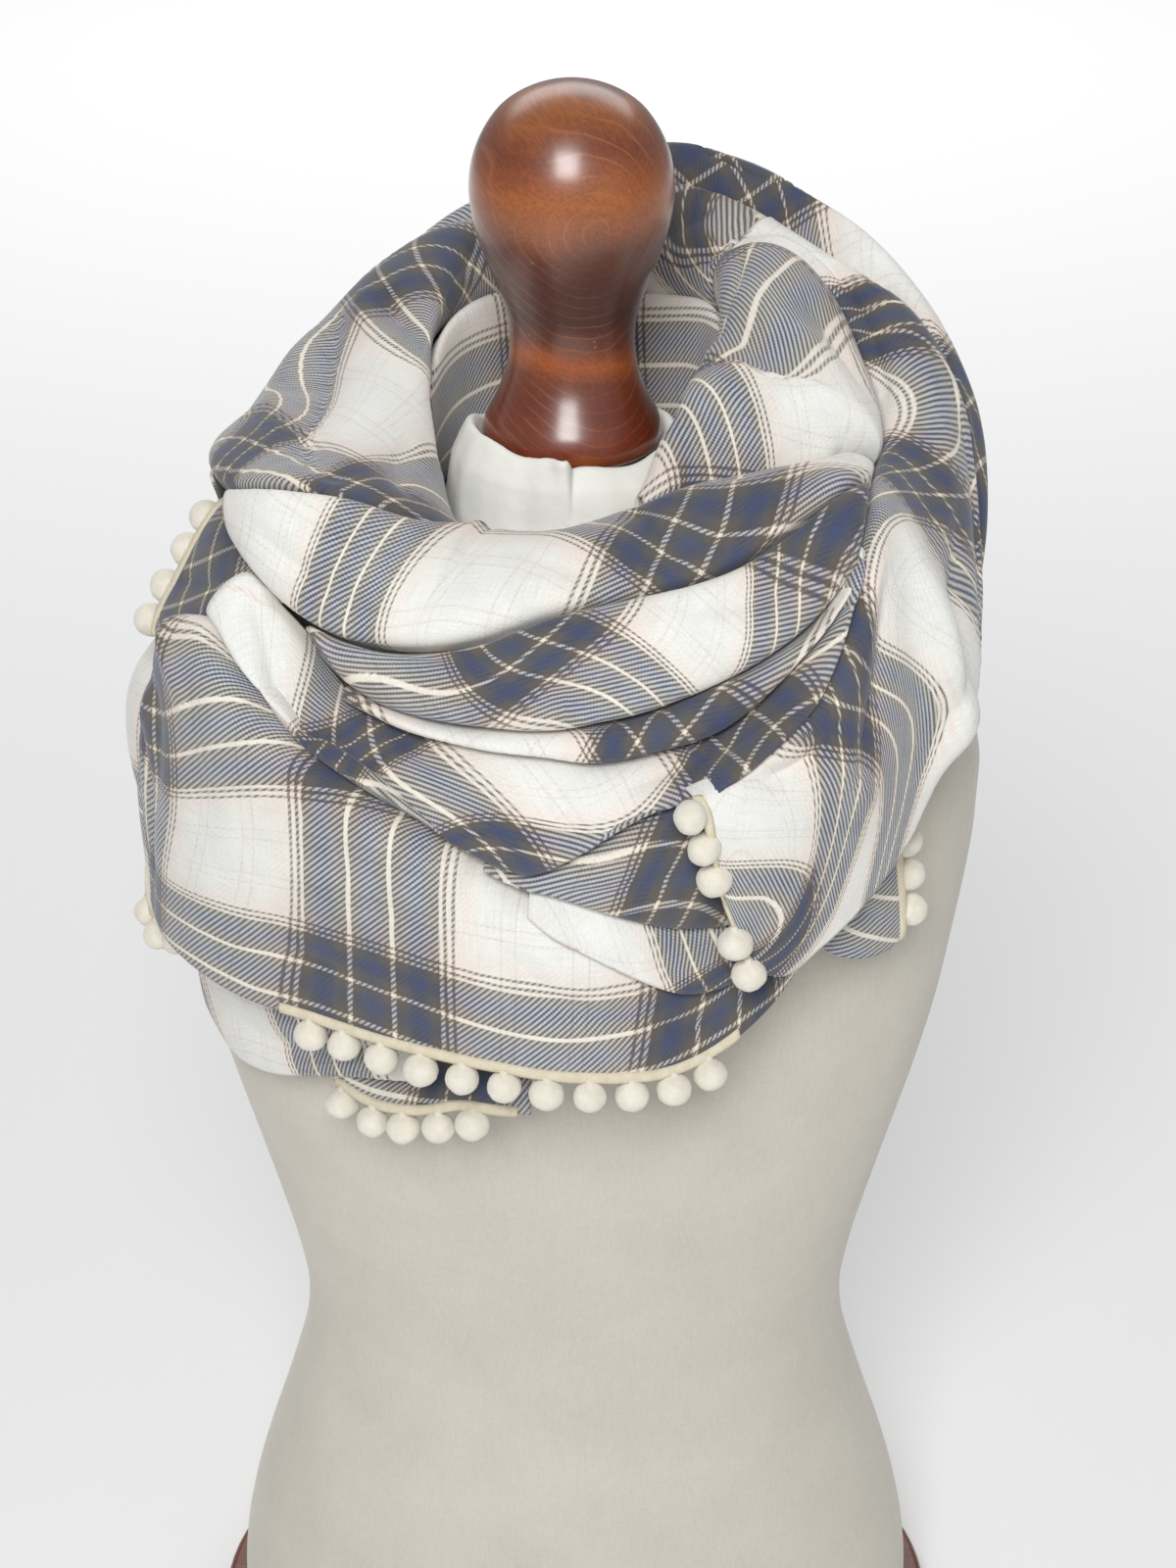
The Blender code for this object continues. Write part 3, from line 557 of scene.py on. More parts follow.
        table(Crease, (271, 0.4, 277, 0.5, 284, 0.7, -2.5, 7)),
        lean=(-6.0, 6.0)),
    "under_fold": Stretch(
        -72, -24, ["fold_top"], ["fold_foot"],
        table(Swell, (-72, 12, 12, 8, 0), (-48, 12, 12, 8, 0), (-24, 6, 6, 8, 0)),
        ["torso"],
        Weave(table(Heading, (-72, 25), (-24, 25)),
              table(Pin, (-58, 0.46, 0.5, 0.5), (-43, 0.46, 1, 0.5))),
        table(
            Crease, (-66, 0.4, -52, 0.55, -36, 0.5, -3, 7),
            (-50, 0.3, -40, 0.35, -30, 0.4, -2, 5))),
    "under_end": Stretch(
        -42, -6, ["end_top"], ["end_hem"],
        table(Swell, (-42, 6, 12, 8, 1), (-6, 6, 12, 8, 1)),
        ["torso", "under_fold"],
        Weave(table(Heading, (-42, -10), (-6, 10)),
              table(Pin, (-17, 0.68, 1, 1), (-9, 0.82, 1.3, 1))),
        table(Crease, (-38, 0.5, -28, 0.6, -16, 0.5, -2, 5))),
    "hanging_back": Stretch(
        30, 54, ["back_top"], ["back_hem"],
        table(Swell, (30, 5, 14, 8, 1), (54, 5, 14, 8, 1)),
        ["torso", "right_loop"],
        Weave(table(Heading, (30, -25), (54, -25)),
              table(Pin, (46, 0.72, 0.5, 1.02))),
        table(Crease, (38, 0.5, 44, 0.6, 50, 0.8, -2, 5))),
}


def paint(code: str) -> Four:
    """A screen colour such as 3A4A7F as the linear colour that a shader reads.

    Args:
        code: Six hexadecimal digits.

    Returns:
        Linear red, green, blue and alpha.
    """
    parts = [int(code[k:k + 2], 16) / 255 for k in (0, 2, 4)]
    linear = [c / 12.92 if c <= 0.04045 else ((c + 0.055) / 1.055) ** 2.4 for c in parts]
    return (*linear, 1.0)


@dataclass
class Web:
    """Short ways to add nodes to a material's or a group's tree."""

    tree: NodeTree

    def put(self, socket: NodeSocket, value: object) -> None:
        """Link an output to a socket, or set the socket's own value.

        Args:
            socket: Input that is fed.
            value: Output to link, or a constant.
        """
        if isinstance(value, NodeSocket):
            self.tree.links.new(value, socket)
        elif value is not None:
            socket.default_value = value

    def add(self, kind: str, inputs: Optional[dict] = None, **settings: object) -> Node:
        """Add a node.

        Args:
            kind: Its type's name.
            inputs: Values or outputs for its inputs, by name or number.
            **settings: Properties of the node.

        Returns:
            The node.
        """
        node = self.tree.nodes.new(kind)
        for name, value in settings.items():
            setattr(node, name, value)
        for name, value in (inputs or {}).items():
            self.put(node.inputs[name], value)
        return node

    def math(self, operation: str, *values: object) -> NodeSocket:
        """Add a Math node on one to three values."""
        return self.add("ShaderNodeMath", dict(enumerate(values)),
                        operation=operation).outputs[0]

    def times(self, first: object, second: object) -> NodeSocket:
        """Add a Math node that multiplies."""
        return self.math("MULTIPLY", first, second)

    def sum(self, first: object, second: object) -> NodeSocket:
        """Add a Math node that adds."""
        return self.math("ADD", first, second)

    def mix(self, share: object, first: object, second: object, blend: str = "MIX") -> NodeSocket:
        """Add a colour Mix node.

        Args:
            share: How much of the second there is.
            first: Colour under.
            second: Colour over.
            blend: How they are mixed.

        Returns:
            The mixed colour.
        """
        node = self.add("ShaderNodeMix", data_type="RGBA", blend_type=blend)
        self.put(node.inputs["Factor"], share)
        self.put(node.inputs[6], first)
        self.put(node.inputs[7], second)
        return node.outputs[2]

    def grey(self, value: object) -> NodeSocket:
        """A value as a grey colour."""
        return self.add("ShaderNodeCombineColor", {0: value, 1: value, 2: value}).outputs[0]

    def ramp(self, value: object, stops: Sequence[tuple[float, tuple]]) -> NodeSocket:
        """Add a Color Ramp through stops of place and colour.

        Args:
            value: Where the ramp is read.
            stops: Places from 0 to 1, with their colours.

        Returns:
            The colour.
        """
        node = self.add("ShaderNodeValToRGB", {0: value})
        elements = node.color_ramp.elements
        while len(elements) < len(stops):
            elements.new(0.5)
        for element, (place, colour) in zip(elements, sorted(stops)):
            element.position = place
            element.color = colour
        return node.outputs[0]

    def spread(self, value: object, low: float, high: float, start: float = 0.0,
               end: float = 1.0, smooth_step: bool = False) -> NodeSocket:
        """Add a Map Range node from low..high to start..end.

        Args:
            value: What is mapped.
            low: Value that gives the start.
            high: Value that gives the end.
            start: Least result.
            end: Most.
            smooth_step: Whether it eases in and out.

        Returns:
            The mapped value.
        """
        mode = "SMOOTHSTEP" if smooth_step else "LINEAR"
        node = self.add("ShaderNodeMapRange", {0: value, 1: low, 2: high, 3: start, 4: end},
                        interpolation_type=mode)
        return node.outputs[0]

    def tone(self, value: object, start: float, end: float) -> NodeSocket:
        """Spread the middle values of a noise to start..end."""
        return self.spread(value, NOISE_LOW, NOISE_HIGH, start, end)

    def noise(self, vector: object, scale: object, detail: float = 2.0,
              roughness: float = 0.5) -> NodeSocket:
        """Add a Noise texture and return its value.

        Args:
            vector: Where it is read.
            scale: How fine it is.
            detail: Its finer layers.
            roughness: How strong they are.

        Returns:
            The value.
        """
        node = self.add("ShaderNodeTexNoise", {"Vector": vector, "Scale": scale,
                                               "Detail": detail, "Roughness": roughness})
        return node.outputs[0]

    def stretched(self, vector: object, scale: Triple, turn: Triple = (0, 0, 0)) -> NodeSocket:
        """Add a Mapping node that scales and turns a pattern.

        Args:
            vector: Where the pattern lies.
            scale: How fine it gets along each axis.
            turn: Angles that it is turned by.

        Returns:
            The new place.
        """
        node = self.add("ShaderNodeMapping", {"Vector": vector, "Scale": scale,
                                              "Rotation": turn})
        return node.outputs[0]


@dataclass
class Effect:
    """A shader node group with named inputs and outputs."""

    name: str
    inputs: dict[str, float]
    outputs: list[str]
    build: Callable[[Web, dict, dict], None]

    def tree(self) -> NodeTree:
        """Make the group once, or find it again.

        Returns:
            The group.
        """
        known = bpy.data.node_groups.get(self.name)
        if known:
            return known
        tree = bpy.data.node_groups.new(self.name, "ShaderNodeTree")
        tree.interface.new_socket("Vector", in_out="INPUT", socket_type="NodeSocketVector")
        for name, value in self.inputs.items():
            socket = tree.interface.new_socket(name, in_out="INPUT",
                                               socket_type="NodeSocketFloat")
            socket.default_value = value
        for name in self.outputs:
            tree.interface.new_socket(name, in_out="OUTPUT", socket_type="NodeSocketFloat")
        web = Web(tree)
        start, end = web.add("NodeGroupInput"), web.add("NodeGroupOutput")
        self.build(web, start.outputs, end.inputs)
        return tree

    def use(self, web: Web, vector: object, **values: float) -> NodeOutputs:
        """Place the group in a material with its own values.

        Args:
            web: The material's web.
            vector: Where the effect is read.
            **values: Inputs that differ from their defaults, in lower case.

        Returns:
            The group node's outputs.
        """
        node = web.add("ShaderNodeGroup", node_tree=self.tree())
        web.put(node.inputs["Vector"], vector)
        for name, value in values.items():
            web.put(node.inputs[name.capitalize()], value)
        return node.outputs


def build_nap(web: Web, given: dict, made: dict) -> None:
    """Brushed or felted fibres: a fine fuzz over soft blotches.

    Args:
        web: The group's web.
        given: Its inputs.
        made: Its outputs.
    """
    fuzz = web.noise(given["Vector"], given["Fuzz"], detail=4.0, roughness=0.7)
    blotch = web.noise(given["Vector"], given["Blotch"])
    web.put(made["Tone"], web.sum(web.times(fuzz, 0.6), web.times(blotch, 0.4)))
    web.put(made["Height"], fuzz)


def build_twill(web: Web, given: dict, made: dict) -> None:
    """Two-over, two-under twill: which set of threads shows, and how they stand.

    Args:
        web: The group's web.
        given: Its inputs.
        made: Its outputs.
    """
    parts = web.add("ShaderNodeSeparateXYZ", {0: given["Vector"]})
    across = web.math("DIVIDE", parts.outputs[0], given["Pitch"])
    along = web.math("DIVIDE", parts.outputs[1], given["Pitch"])
    wave = web.times(web.math("PINGPONG", web.sum(across, along), 0.5), 2.0)
    aslant = web.math("SUBTRACT", across, along)
    dots = web.math("PINGPONG", web.times(aslant, TWILL_BREAKS), 0.5)
    broken = web.sum(wave, web.times(web.math("SUBTRACT", dots, 0.25), TWILL_BREAK_DEPTH))
    web.put(made["Mask"], web.spread(broken, *TWILL_EDGE, smooth_step=True))
    threads = web.times(web.math("PINGPONG", web.times(across, TWILL_THREADS), 0.5),
                        web.math("PINGPONG", web.times(along, TWILL_THREADS), 0.5))
    web.put(made["Height"], web.sum(web.times(wave, 0.7), web.times(threads, 1.2)))


def build_slub(web: Web, given: dict, made: dict) -> None:
    """Uneven threads in both directions of a woven cloth.

    Args:
        web: The group's web.
        given: Its inputs.
        made: Its outputs.
    """
    scales = ((given["Fine"], given["Long"]), (given["Long"], given["Fine"]))
    for name, (first, second) in zip(("Across", "Along"), scales):
        joined = web.add("ShaderNodeCombineXYZ", {0: first, 1: second, 2: 1.0})
        scaled = web.add("ShaderNodeVectorMath", {0: given["Vector"], 1: joined.outputs[0]},
                         operation="MULTIPLY")
        web.put(made[name], web.noise(scaled.outputs[0], 1.0, roughness=0.6))


def build_grain(web: Web, given: dict, made: dict) -> None:
    """Growth rings cut aslant, and fine pores that run with them.

    Args:
        web: The group's web.
        given: Its inputs.
        made: Its outputs.
    """
    vector = given["Vector"]
    warp = web.add("ShaderNodeTexNoise", {"Vector": vector, "Scale": WARP_SCALE,
                                          "Detail": 3.0})
    offset = web.add("ShaderNodeVectorMath", {0: warp.outputs[1], 1: (0.5, 0.5, 0.5)},
                     operation="SUBTRACT")
    bent = web.add("ShaderNodeVectorMath", {0: offset.outputs[0], 1: (WARP_REACH,) * 3,
                                            2: vector}, operation="MULTIPLY_ADD")
    parts = web.add("ShaderNodeSeparateXYZ", {0: bent.outputs[0]})
    squares = [web.math("POWER", parts.outputs[axis], 2.0) for axis in (0, 1)]
    radius = web.math("SQRT", web.sum(*squares))
    web.put(made["Ring"], web.math("FRACT", web.times(radius, given["Rings"])))
    drawn = web.stretched(bent.outputs[0], PORE_SCALE)
    web.put(made["Pore"], web.noise(drawn, 1.0, detail=3.0, roughness=0.6))


def build_scuffs(web: Web, given: dict, made: dict) -> None:
    """Small worn flecks."""
    spots = web.noise(given["Vector"], given["Scale"], detail=4.0, roughness=0.65)
    web.put(made["Mask"], web.spread(spots, *SCUFF_EDGE, smooth_step=True))


NAP = Effect("nap", {"Fuzz": 900.0, "Blotch": 60.0}, ["Tone", "Height"], build_nap)
TWILL = Effect("twill", {"Pitch": 0.021}, ["Mask", "Height"], build_twill)
SLUB = Effect("slub", {"Fine": 180.0, "Long": 12.0}, ["Across", "Along"], build_slub)
GRAIN = Effect("grain", {"Rings": 300.0}, ["Ring", "Pore"], build_grain)
SCUFFS = Effect("scuffs", {"Scale": 160.0}, ["Mask"], build_scuffs)


@dataclass(frozen=True)
class Finish:
    """What every finish shares: its name, its nap and how its shader is set up.

    Fuzz and blotch are how fine the nap is, depth is the relief's in millimetres, relief how
    much of it shows, and light and dark are the ends of a tint.
    """

    name: str
    roughness: float = 0.9
    sheen: float = 0.0
    sheen_roughness: float = 0.5
    coat: float = 0.0
    coat_roughness: float = 0.24
    fuzz: float = 1400.0
    blotch: float = 70.0
    depth: float = 0.2
    relief: float = 1.0
    light: str = "FFFFFF"
    dark: str = "000000"

    def start(self) -> tuple[Material, Web, Node]:
        """Make the material, with its constant values set on the shader itself.

        Returns:
            The material, its web and its shader.
        """
        material = bpy.data.materials.new(self.name)
        material.use_nodes = True
        web = Web(material.node_tree)
        shader = material.node_tree.nodes["Principled BSDF"]
        for name, value in (("Roughness", self.roughness), ("Sheen Weight", self.sheen),
                            ("Sheen Roughness", self.sheen_roughness),
                            ("Coat Weight", self.coat), ("Coat Roughness", self.coat_roughness)):
            shader.inputs[name].default_value = value
        return material, web, shader

    def place(self, web: Web) -> NodeSocket:
        """Where a point lies on the piece."""
        return web.add("ShaderNodeTexCoord").outputs["Object"]

    def tint(self, web: Web, shader: Node, tone: object) -> None:
        """Colour the shader from dark to light by a tone from 0 to 1."""
        web.put(shader.inputs["Base Color"], web.mix(tone, paint(self.dark), paint(self.light)))

    def nap(self, web: Web, place: object) -> NodeOutputs:
        """The finish's own fuzz and blotches."""
        return NAP.use(web, place, fuzz=self.fuzz, blotch=self.blotch)

    def bump(self, web: Web, shader: Node, height: object) -> None:
        """Feed a height to the shader's normal.

        Args:
            web: The material's web.
            shader: Its shader.
            height: Height from 0 to 1.
        """
        node = web.add("ShaderNodeBump", {"Height": height, "Distance": self.depth * MM,
                                          "Strength": self.relief})
        web.put(shader.inputs["Normal"], node.outputs[0])


@dataclass(frozen=True)
class Flannel(Finish):
    """Brushed cotton twill with the navy, brown and cream window check.

    The sett runs from the middle of the dark bars to the middle of the light window, as stops
    of millimetres and colour, and is mirrored from there on. Shade is how much of the darker
    threads shows through everywhere. Pitch is the twill's, in millimetres, twill its share of
    the relief, and wander how far a line strays. The other pairs are the least and the most of
    a thread's own tone, of how much the second threads lie on top, of how far the nap shifts
    that, of the nap's tone and of the roughness.
    """

    sett: tuple[tuple[float, str], ...] = (
        (0.0, "4A4F66"), (3.2, "4E5364"), (5.0, "5D5751"), (7.3, "5F5851"), (7.7, "E6DCCA"),
        (9.1, "E6DCCA"), (9.5, "5C5650"), (13.2, "5A5553"), (15.4, "464C63"), (17.5, "404864"),
        (20.5, "434A66"), (22.6, "545357"), (24.0, "5B554F"), (26.2, "5A524B"),
        (26.6, "E0D4C4"), (27.7, "E0D4C4"), (28.1, "675D54"), (29.0, "675D54"),
        (29.4, "E3D8CC"), (30.8, "E3D8CC"), (31.2, "7A6E65"), (32.0, "7A6E65"),
        (32.4, "E4D8CD"), (37.0, "E4DBD2"), (42.0, "E3E1DB"), (48.2, "E3E3DE"),
        (48.7, "D8C9C0"), (49.4, "E3E3DE"), (53.4, "E3E3DE"), (53.9, "D9CAC3"),
        (54.6, "E3E4DF"), (64.0, "E5E6E1"))
    shade: float = 0.36
    pitch: float = 2.6
    wander: float = 1.2
    slub_fine: float = 190.0
    slub_long: float = 9.0
    heather: Pair = (0.90, 1.07)
    over: Pair = (0.03, 0.95)
    ruffle: Pair = (-0.2, 0.2)
    bloom: Pair = (1.0, 1.14)
    dull: Pair = (0.86, 0.98)
    twill: float = 0.5
    depth: float = 0.16
    relief: float = 0.8

    def build(self) -> Material:
        """Build the check from the cloth's own flat map.

        Returns:
            The material.
        """
        material, web, shader = self.start()
        flat = web.add("ShaderNodeUVMap", uv_map=FLAT_MAP).outputs[0]
        thread = web.add("ShaderNodeUVMap", uv_map=THREAD_MAP).outputs[0]
        place = self.place(web)
        slub = SLUB.use(web, thread, fine=self.slub_fine, long=self.slub_long)
        twill = TWILL.use(web, thread, pitch=self.pitch / REPEAT)
        nap = self.nap(web, place)
        parts = web.add("ShaderNodeSeparateXYZ", {0: flat})
        stops = [(place_mm / (REPEAT / 2), paint(code)) for place_mm, code in self.sett]
        threads = []
        for axis, name in enumerate(("Across", "Along")):
            stray = web.times(web.math("SUBTRACT", slub[name], 0.5), self.wander / REPEAT)
            line = web.math("PINGPONG", web.sum(parts.outputs[axis], stray), 0.5)
            colour = web.ramp(web.times(line, 2.0), stops)
            tone = web.grey(web.tone(slub[name], *self.heather))
            threads.append(web.mix(1.0, colour, tone, "MULTIPLY"))
        lying = web.sum(twill["Mask"], web.tone(nap["Tone"], *self.ruffle))
        woven = web.mix(web.spread(lying, 0.0, 1.0, *self.over), *threads)
        woven = web.mix(self.shade, woven, web.mix(1.0, *threads, "DARKEN"))
        bloom = web.grey(web.tone(nap["Tone"], *self.bloom))
        web.put(shader.inputs["Base Color"], web.mix(1.0, woven, bloom, "MULTIPLY"))
        web.put(shader.inputs["Roughness"], web.tone(nap["Tone"], *self.dull))
        height = web.sum(web.times(twill["Height"], self.twill), nap["Height"])
        self.bump(web, shader, height)
        return material


@dataclass(frozen=True)
class Felt(Finish):
    """Matted wool or cotton, a little darker in its hollows: painted shade, as its colour follows
    the same fuzz as its bump, over random blotches.
    """

    fuzz: float = 1900.0
    blotch: float = 240.0
    light: str = "F7F3E8"
    dark: str = "E2DAC6"
    middle: Pair = (0.32, 0.68)
    depth: float = 0.35

    def build(self) -> Material:
        """Build the felt.

        Returns:
            The material.
        """
        material, web, shader = self.start()
        nap = self.nap(web, self.place(web))
        # painted shade: the tone follows the fuzz that also raises the bump, so its hollows are
        # darker, over random blotches
        tone = web.spread(nap["Tone"], *self.middle)
        self.tint(web, shader, tone)
        self.bump(web, shader, nap["Height"])
        return material


@dataclass(frozen=True)
class Jersey(Finish):
    """Fine knitted cover of the torso.

    Knit is how much the ribs and the courses weigh in a stitch, blend how much the stitches and
    the nap do in the colour, and middle the span of it from dark to light.
    """

    fuzz: float = 1100.0
    blotch: float = 26.0
    light: str = "DDD9CE"
    dark: str = "BFB9AB"
    rib: Triple = (900.0, 900.0, 110.0)
    course: Triple = (160.0, 160.0, 1500.0)
    knit: Pair = (0.6, 0.4)
    blend: Pair = (0.4, 0.8)
    middle: Pair = (0.3, 0.95)
    depth: float = 0.25
    relief: float = 0.7

    def build(self) -> Material:
        """Build upright ribs of stitches with a little fuzz.

        Returns:
            The material.
        """
        material, web, shader = self.start()
        place = self.place(web)
        nap = self.nap(web, place)
        rib = web.noise(web.stretched(place, self.rib), 1.0, roughness=0.6)
        course = web.noise(web.stretched(place, self.course), 1.0, detail=1.0)
        stitch = web.sum(web.times(rib, self.knit[0]), web.times(course, self.knit[1]))
        tone = web.spread(web.sum(web.times(stitch, self.blend[0]),
                                  web.times(nap["Tone"], self.blend[1])), *self.middle)
        self.tint(web, shader, tone)
        self.bump(web, shader, stitch)
        return material


@dataclass(frozen=True)
class Cotton(Finish):
    """Fine plain-woven off-white cotton."""

    fuzz: float = 1500.0
    blotch: float = 55.0
    light: str = "F2F2EC"
    dark: str = "E6E6DD"
    crumple: float = 45.0
    crumple_depth: float = 9.0
    depth: float = 0.22
    relief: float = 0.6

    def build(self) -> Material:
        """Build the plain weave and its soft creases.

        Returns:
            The material.
        """
        material, web, shader = self.start()
        place = self.place(web)
        nap = self.nap(web, place)
        tone = web.tone(nap["Tone"], 0.0, 1.0)
        self.tint(web, shader, tone)
        crumple = web.noise(place, self.crumple, detail=3.0, roughness=0.55)
        height = web.sum(web.times(crumple, self.crumple_depth), nap["Height"])
        self.bump(web, shader, height)
        return material


@dataclass(frozen=True)
class Wood(Finish):
    """Stained and varnished hardwood: bands of colour, growth rings, pores and worn flecks.

    The bands are stops of share and colour between two places along an axis, in metres, and
    stray is how far their edges wander. Tilt and centre lay the growth rings in the piece. Pore
    and patch hold the low and the high of a noise, then what those turn into. Late is the part
    of a ring that is darker, gloss how much smoother or rougher than its mean the varnish gets,
    and worn how much of the flecks shows and how much they dull it.
    """

    bands: tuple[tuple[float, str], ...] = ()
    axis: int = 2
    low: float = 0.620
    high: float = 0.766
    stray: float = 0.012
    stray_scale: float = 26.0
    line: str = "AE6A3E"
    fleck: str = "C9B8A6"
    rings: float = 210.0
    ring_share: float = 0.42
    tilt: Triple = (1.15, 0.45, 0.0)
    centre: Triple = (0.01, 0.0, -0.735)
    pore: Four = (0.38, 0.64, 0.80, 1.12)
    patch: Four = (0.40, 0.62, 0.15, 1.0)
    patch_scale: float = 34.0
    late: Pair = (0.80, 0.97)
    worn: Pair = (0.5, 0.4)
    worn_scale: float = 190.0
    gloss: Pair = (-0.06, 0.10)
    gloss_scale: float = 30.0
    depth: float = 0.05
    relief: float = 0.35

    def build(self) -> Material:
        """Build the bands of colour, then the rings, the pores and a few worn flecks.

        Returns:
            The material.
        """
        material, web, shader = self.start()
        place = self.place(web)
        centred = web.add("ShaderNodeMapping", {"Vector": place, "Location": self.centre})
        turned = web.stretched(centred.outputs[0], (1.0, 1.0, 1.0), self.tilt)
        grain = GRAIN.use(web, turned, rings=self.rings)
        parts = web.add("ShaderNodeSeparateXYZ", {0: place})
        drift = web.math("SUBTRACT", web.noise(place, self.stray_scale), 0.5)
        drift = web.times(drift, self.stray * 2)
        along = web.sum(parts.outputs[self.axis], drift)
        colour = web.ramp(web.spread(along, self.low, self.high),
                          [(share, paint(code)) for share, code in self.bands])
        pores = web.spread(grain["Pore"], *self.pore)
        colour = web.mix(1.0, colour, web.grey(pores), "MULTIPLY")
        patch = web.spread(web.noise(place, self.patch_scale), *self.patch)
        late = web.times(web.spread(grain["Ring"], *self.late, smooth_step=True),
                         web.times(patch, self.ring_share))
        colour = web.mix(late, colour, paint(self.line))
        shows, dulls = self.worn
        worn = web.times(SCUFFS.use(web, place, scale=self.worn_scale)["Mask"], shows)
        web.put(shader.inputs["Base Color"], web.mix(worn, colour, paint(self.fleck)))
        smear = web.noise(place, self.gloss_scale, detail=3.0, roughness=0.6)
        gloss = web.tone(smear, *(self.roughness + change for change in self.gloss))
        web.put(shader.inputs["Roughness"], web.sum(gloss, web.times(worn, dulls)))
        self.bump(web, shader, grain["Pore"])
        return material


# Bands of colour, as stops of share and colour; up the knob they run darker below the ball's
# widest part and on the foot, lighter round its widest part and near its top
KNOB_BANDS = ((0.0, "A85C26"), (0.05, "7A3216"), (0.15, "6A2A16"), (0.23, "74361A"),
              (0.28, "A4521E"), (0.33, "6A3520"), (0.40, "4C281E"), (0.52, "54291C"),
              (0.61, "602F18"), (0.67, "8E4B20"), (0.74, "A25A26"), (0.80, "8E4A22"),
              (0.86, "783A1E"), (0.93, "8E4E22"), (0.97, "9C5A28"), (1.0, "7A3F22"))
PLATE_BANDS = ((0.0, "5A2C1C"), (0.3, "7A4023"), (0.55, "66321F"), (0.8, "87492A"),
               (1.0, "5E2E1D"))


def smooth(rows: Sequence[tuple], azimuth: Array) -> Array:
    """Read a table's other columns at azimuths, along a smooth curve through its rows.

    Args:
        rows: Table whose first column is the azimuth.
        azimuth: Azimuths to read at, in degrees.

    Returns:
        One row for each azimuth, not a number where the table doesn't reach.
    """
    knots = np.array([row[0] for row in rows], dtype=float)
    values = np.array([row[1:] for row in rows], dtype=float)
    at = np.array(azimuth, dtype=float)
    first, last = knots[0] - KNOT_SLACK, knots[-1] + KNOT_SLACK
    at = np.where(at < first, at + 360, at)
    at = np.where(at > last, at - 360, at)
    outside = (at < first) | (at > last)
    slopes = np.gradient(values, knots, axis=0)
    k = np.clip(np.searchsorted(knots, at) - 1, 0, len(knots) - 2)
    span = (knots[k + 1] - knots[k])[:, None]
    t = (at[:, None] - knots[k][:, None]) / span
    result = ((2 * t**3 - 3 * t**2 + 1) * values[k]
              + (t**3 - 2 * t**2 + t) * span * slopes[k]
              + (3 * t**2 - 2 * t**3) * values[k + 1]
              + (t**3 - t**2) * span * slopes[k + 1])
    result[outside] = np.nan
    return result


def unit(vectors: Array) -> Array:
    """Vectors of the last axis made one long."""
    return vectors / np.maximum(np.linalg.norm(vectors, axis=-1, keepdims=True), 1e-9)


def to_space(azimuth: Array, radius: Array, height: Array) -> Array:
    """Points in millimetres above the floor, from azimuths, radii and heights."""
    angle = np.radians(azimuth)
    return np.stack([radius * np.sin(angle), -radius * np.cos(angle), NECK_TOP + height], axis=-1)


def oval_radius(azimuth: Array, half_width: Array, front: Array, back: Array) -> Array:
    """Radii of the form's rounded oval outline at azimuths.

    Args:
        azimuth: Azimuths, in degrees.
        half_width: Reach of the outline to each side.
        front: Reach towards the front.
        back: Reach towards the back.

    Returns:
        The radius at each azimuth.
    """
    side = np.abs(np.sin(np.radians(azimuth))) / half_width
    ahead = np.cos(np.radians(azimuth))
    depth = np.abs(ahead) / np.where(ahead > 0, front, back)
    return (side**TORSO_POWER + depth**TORSO_POWER) ** (-1 / TORSO_POWER)


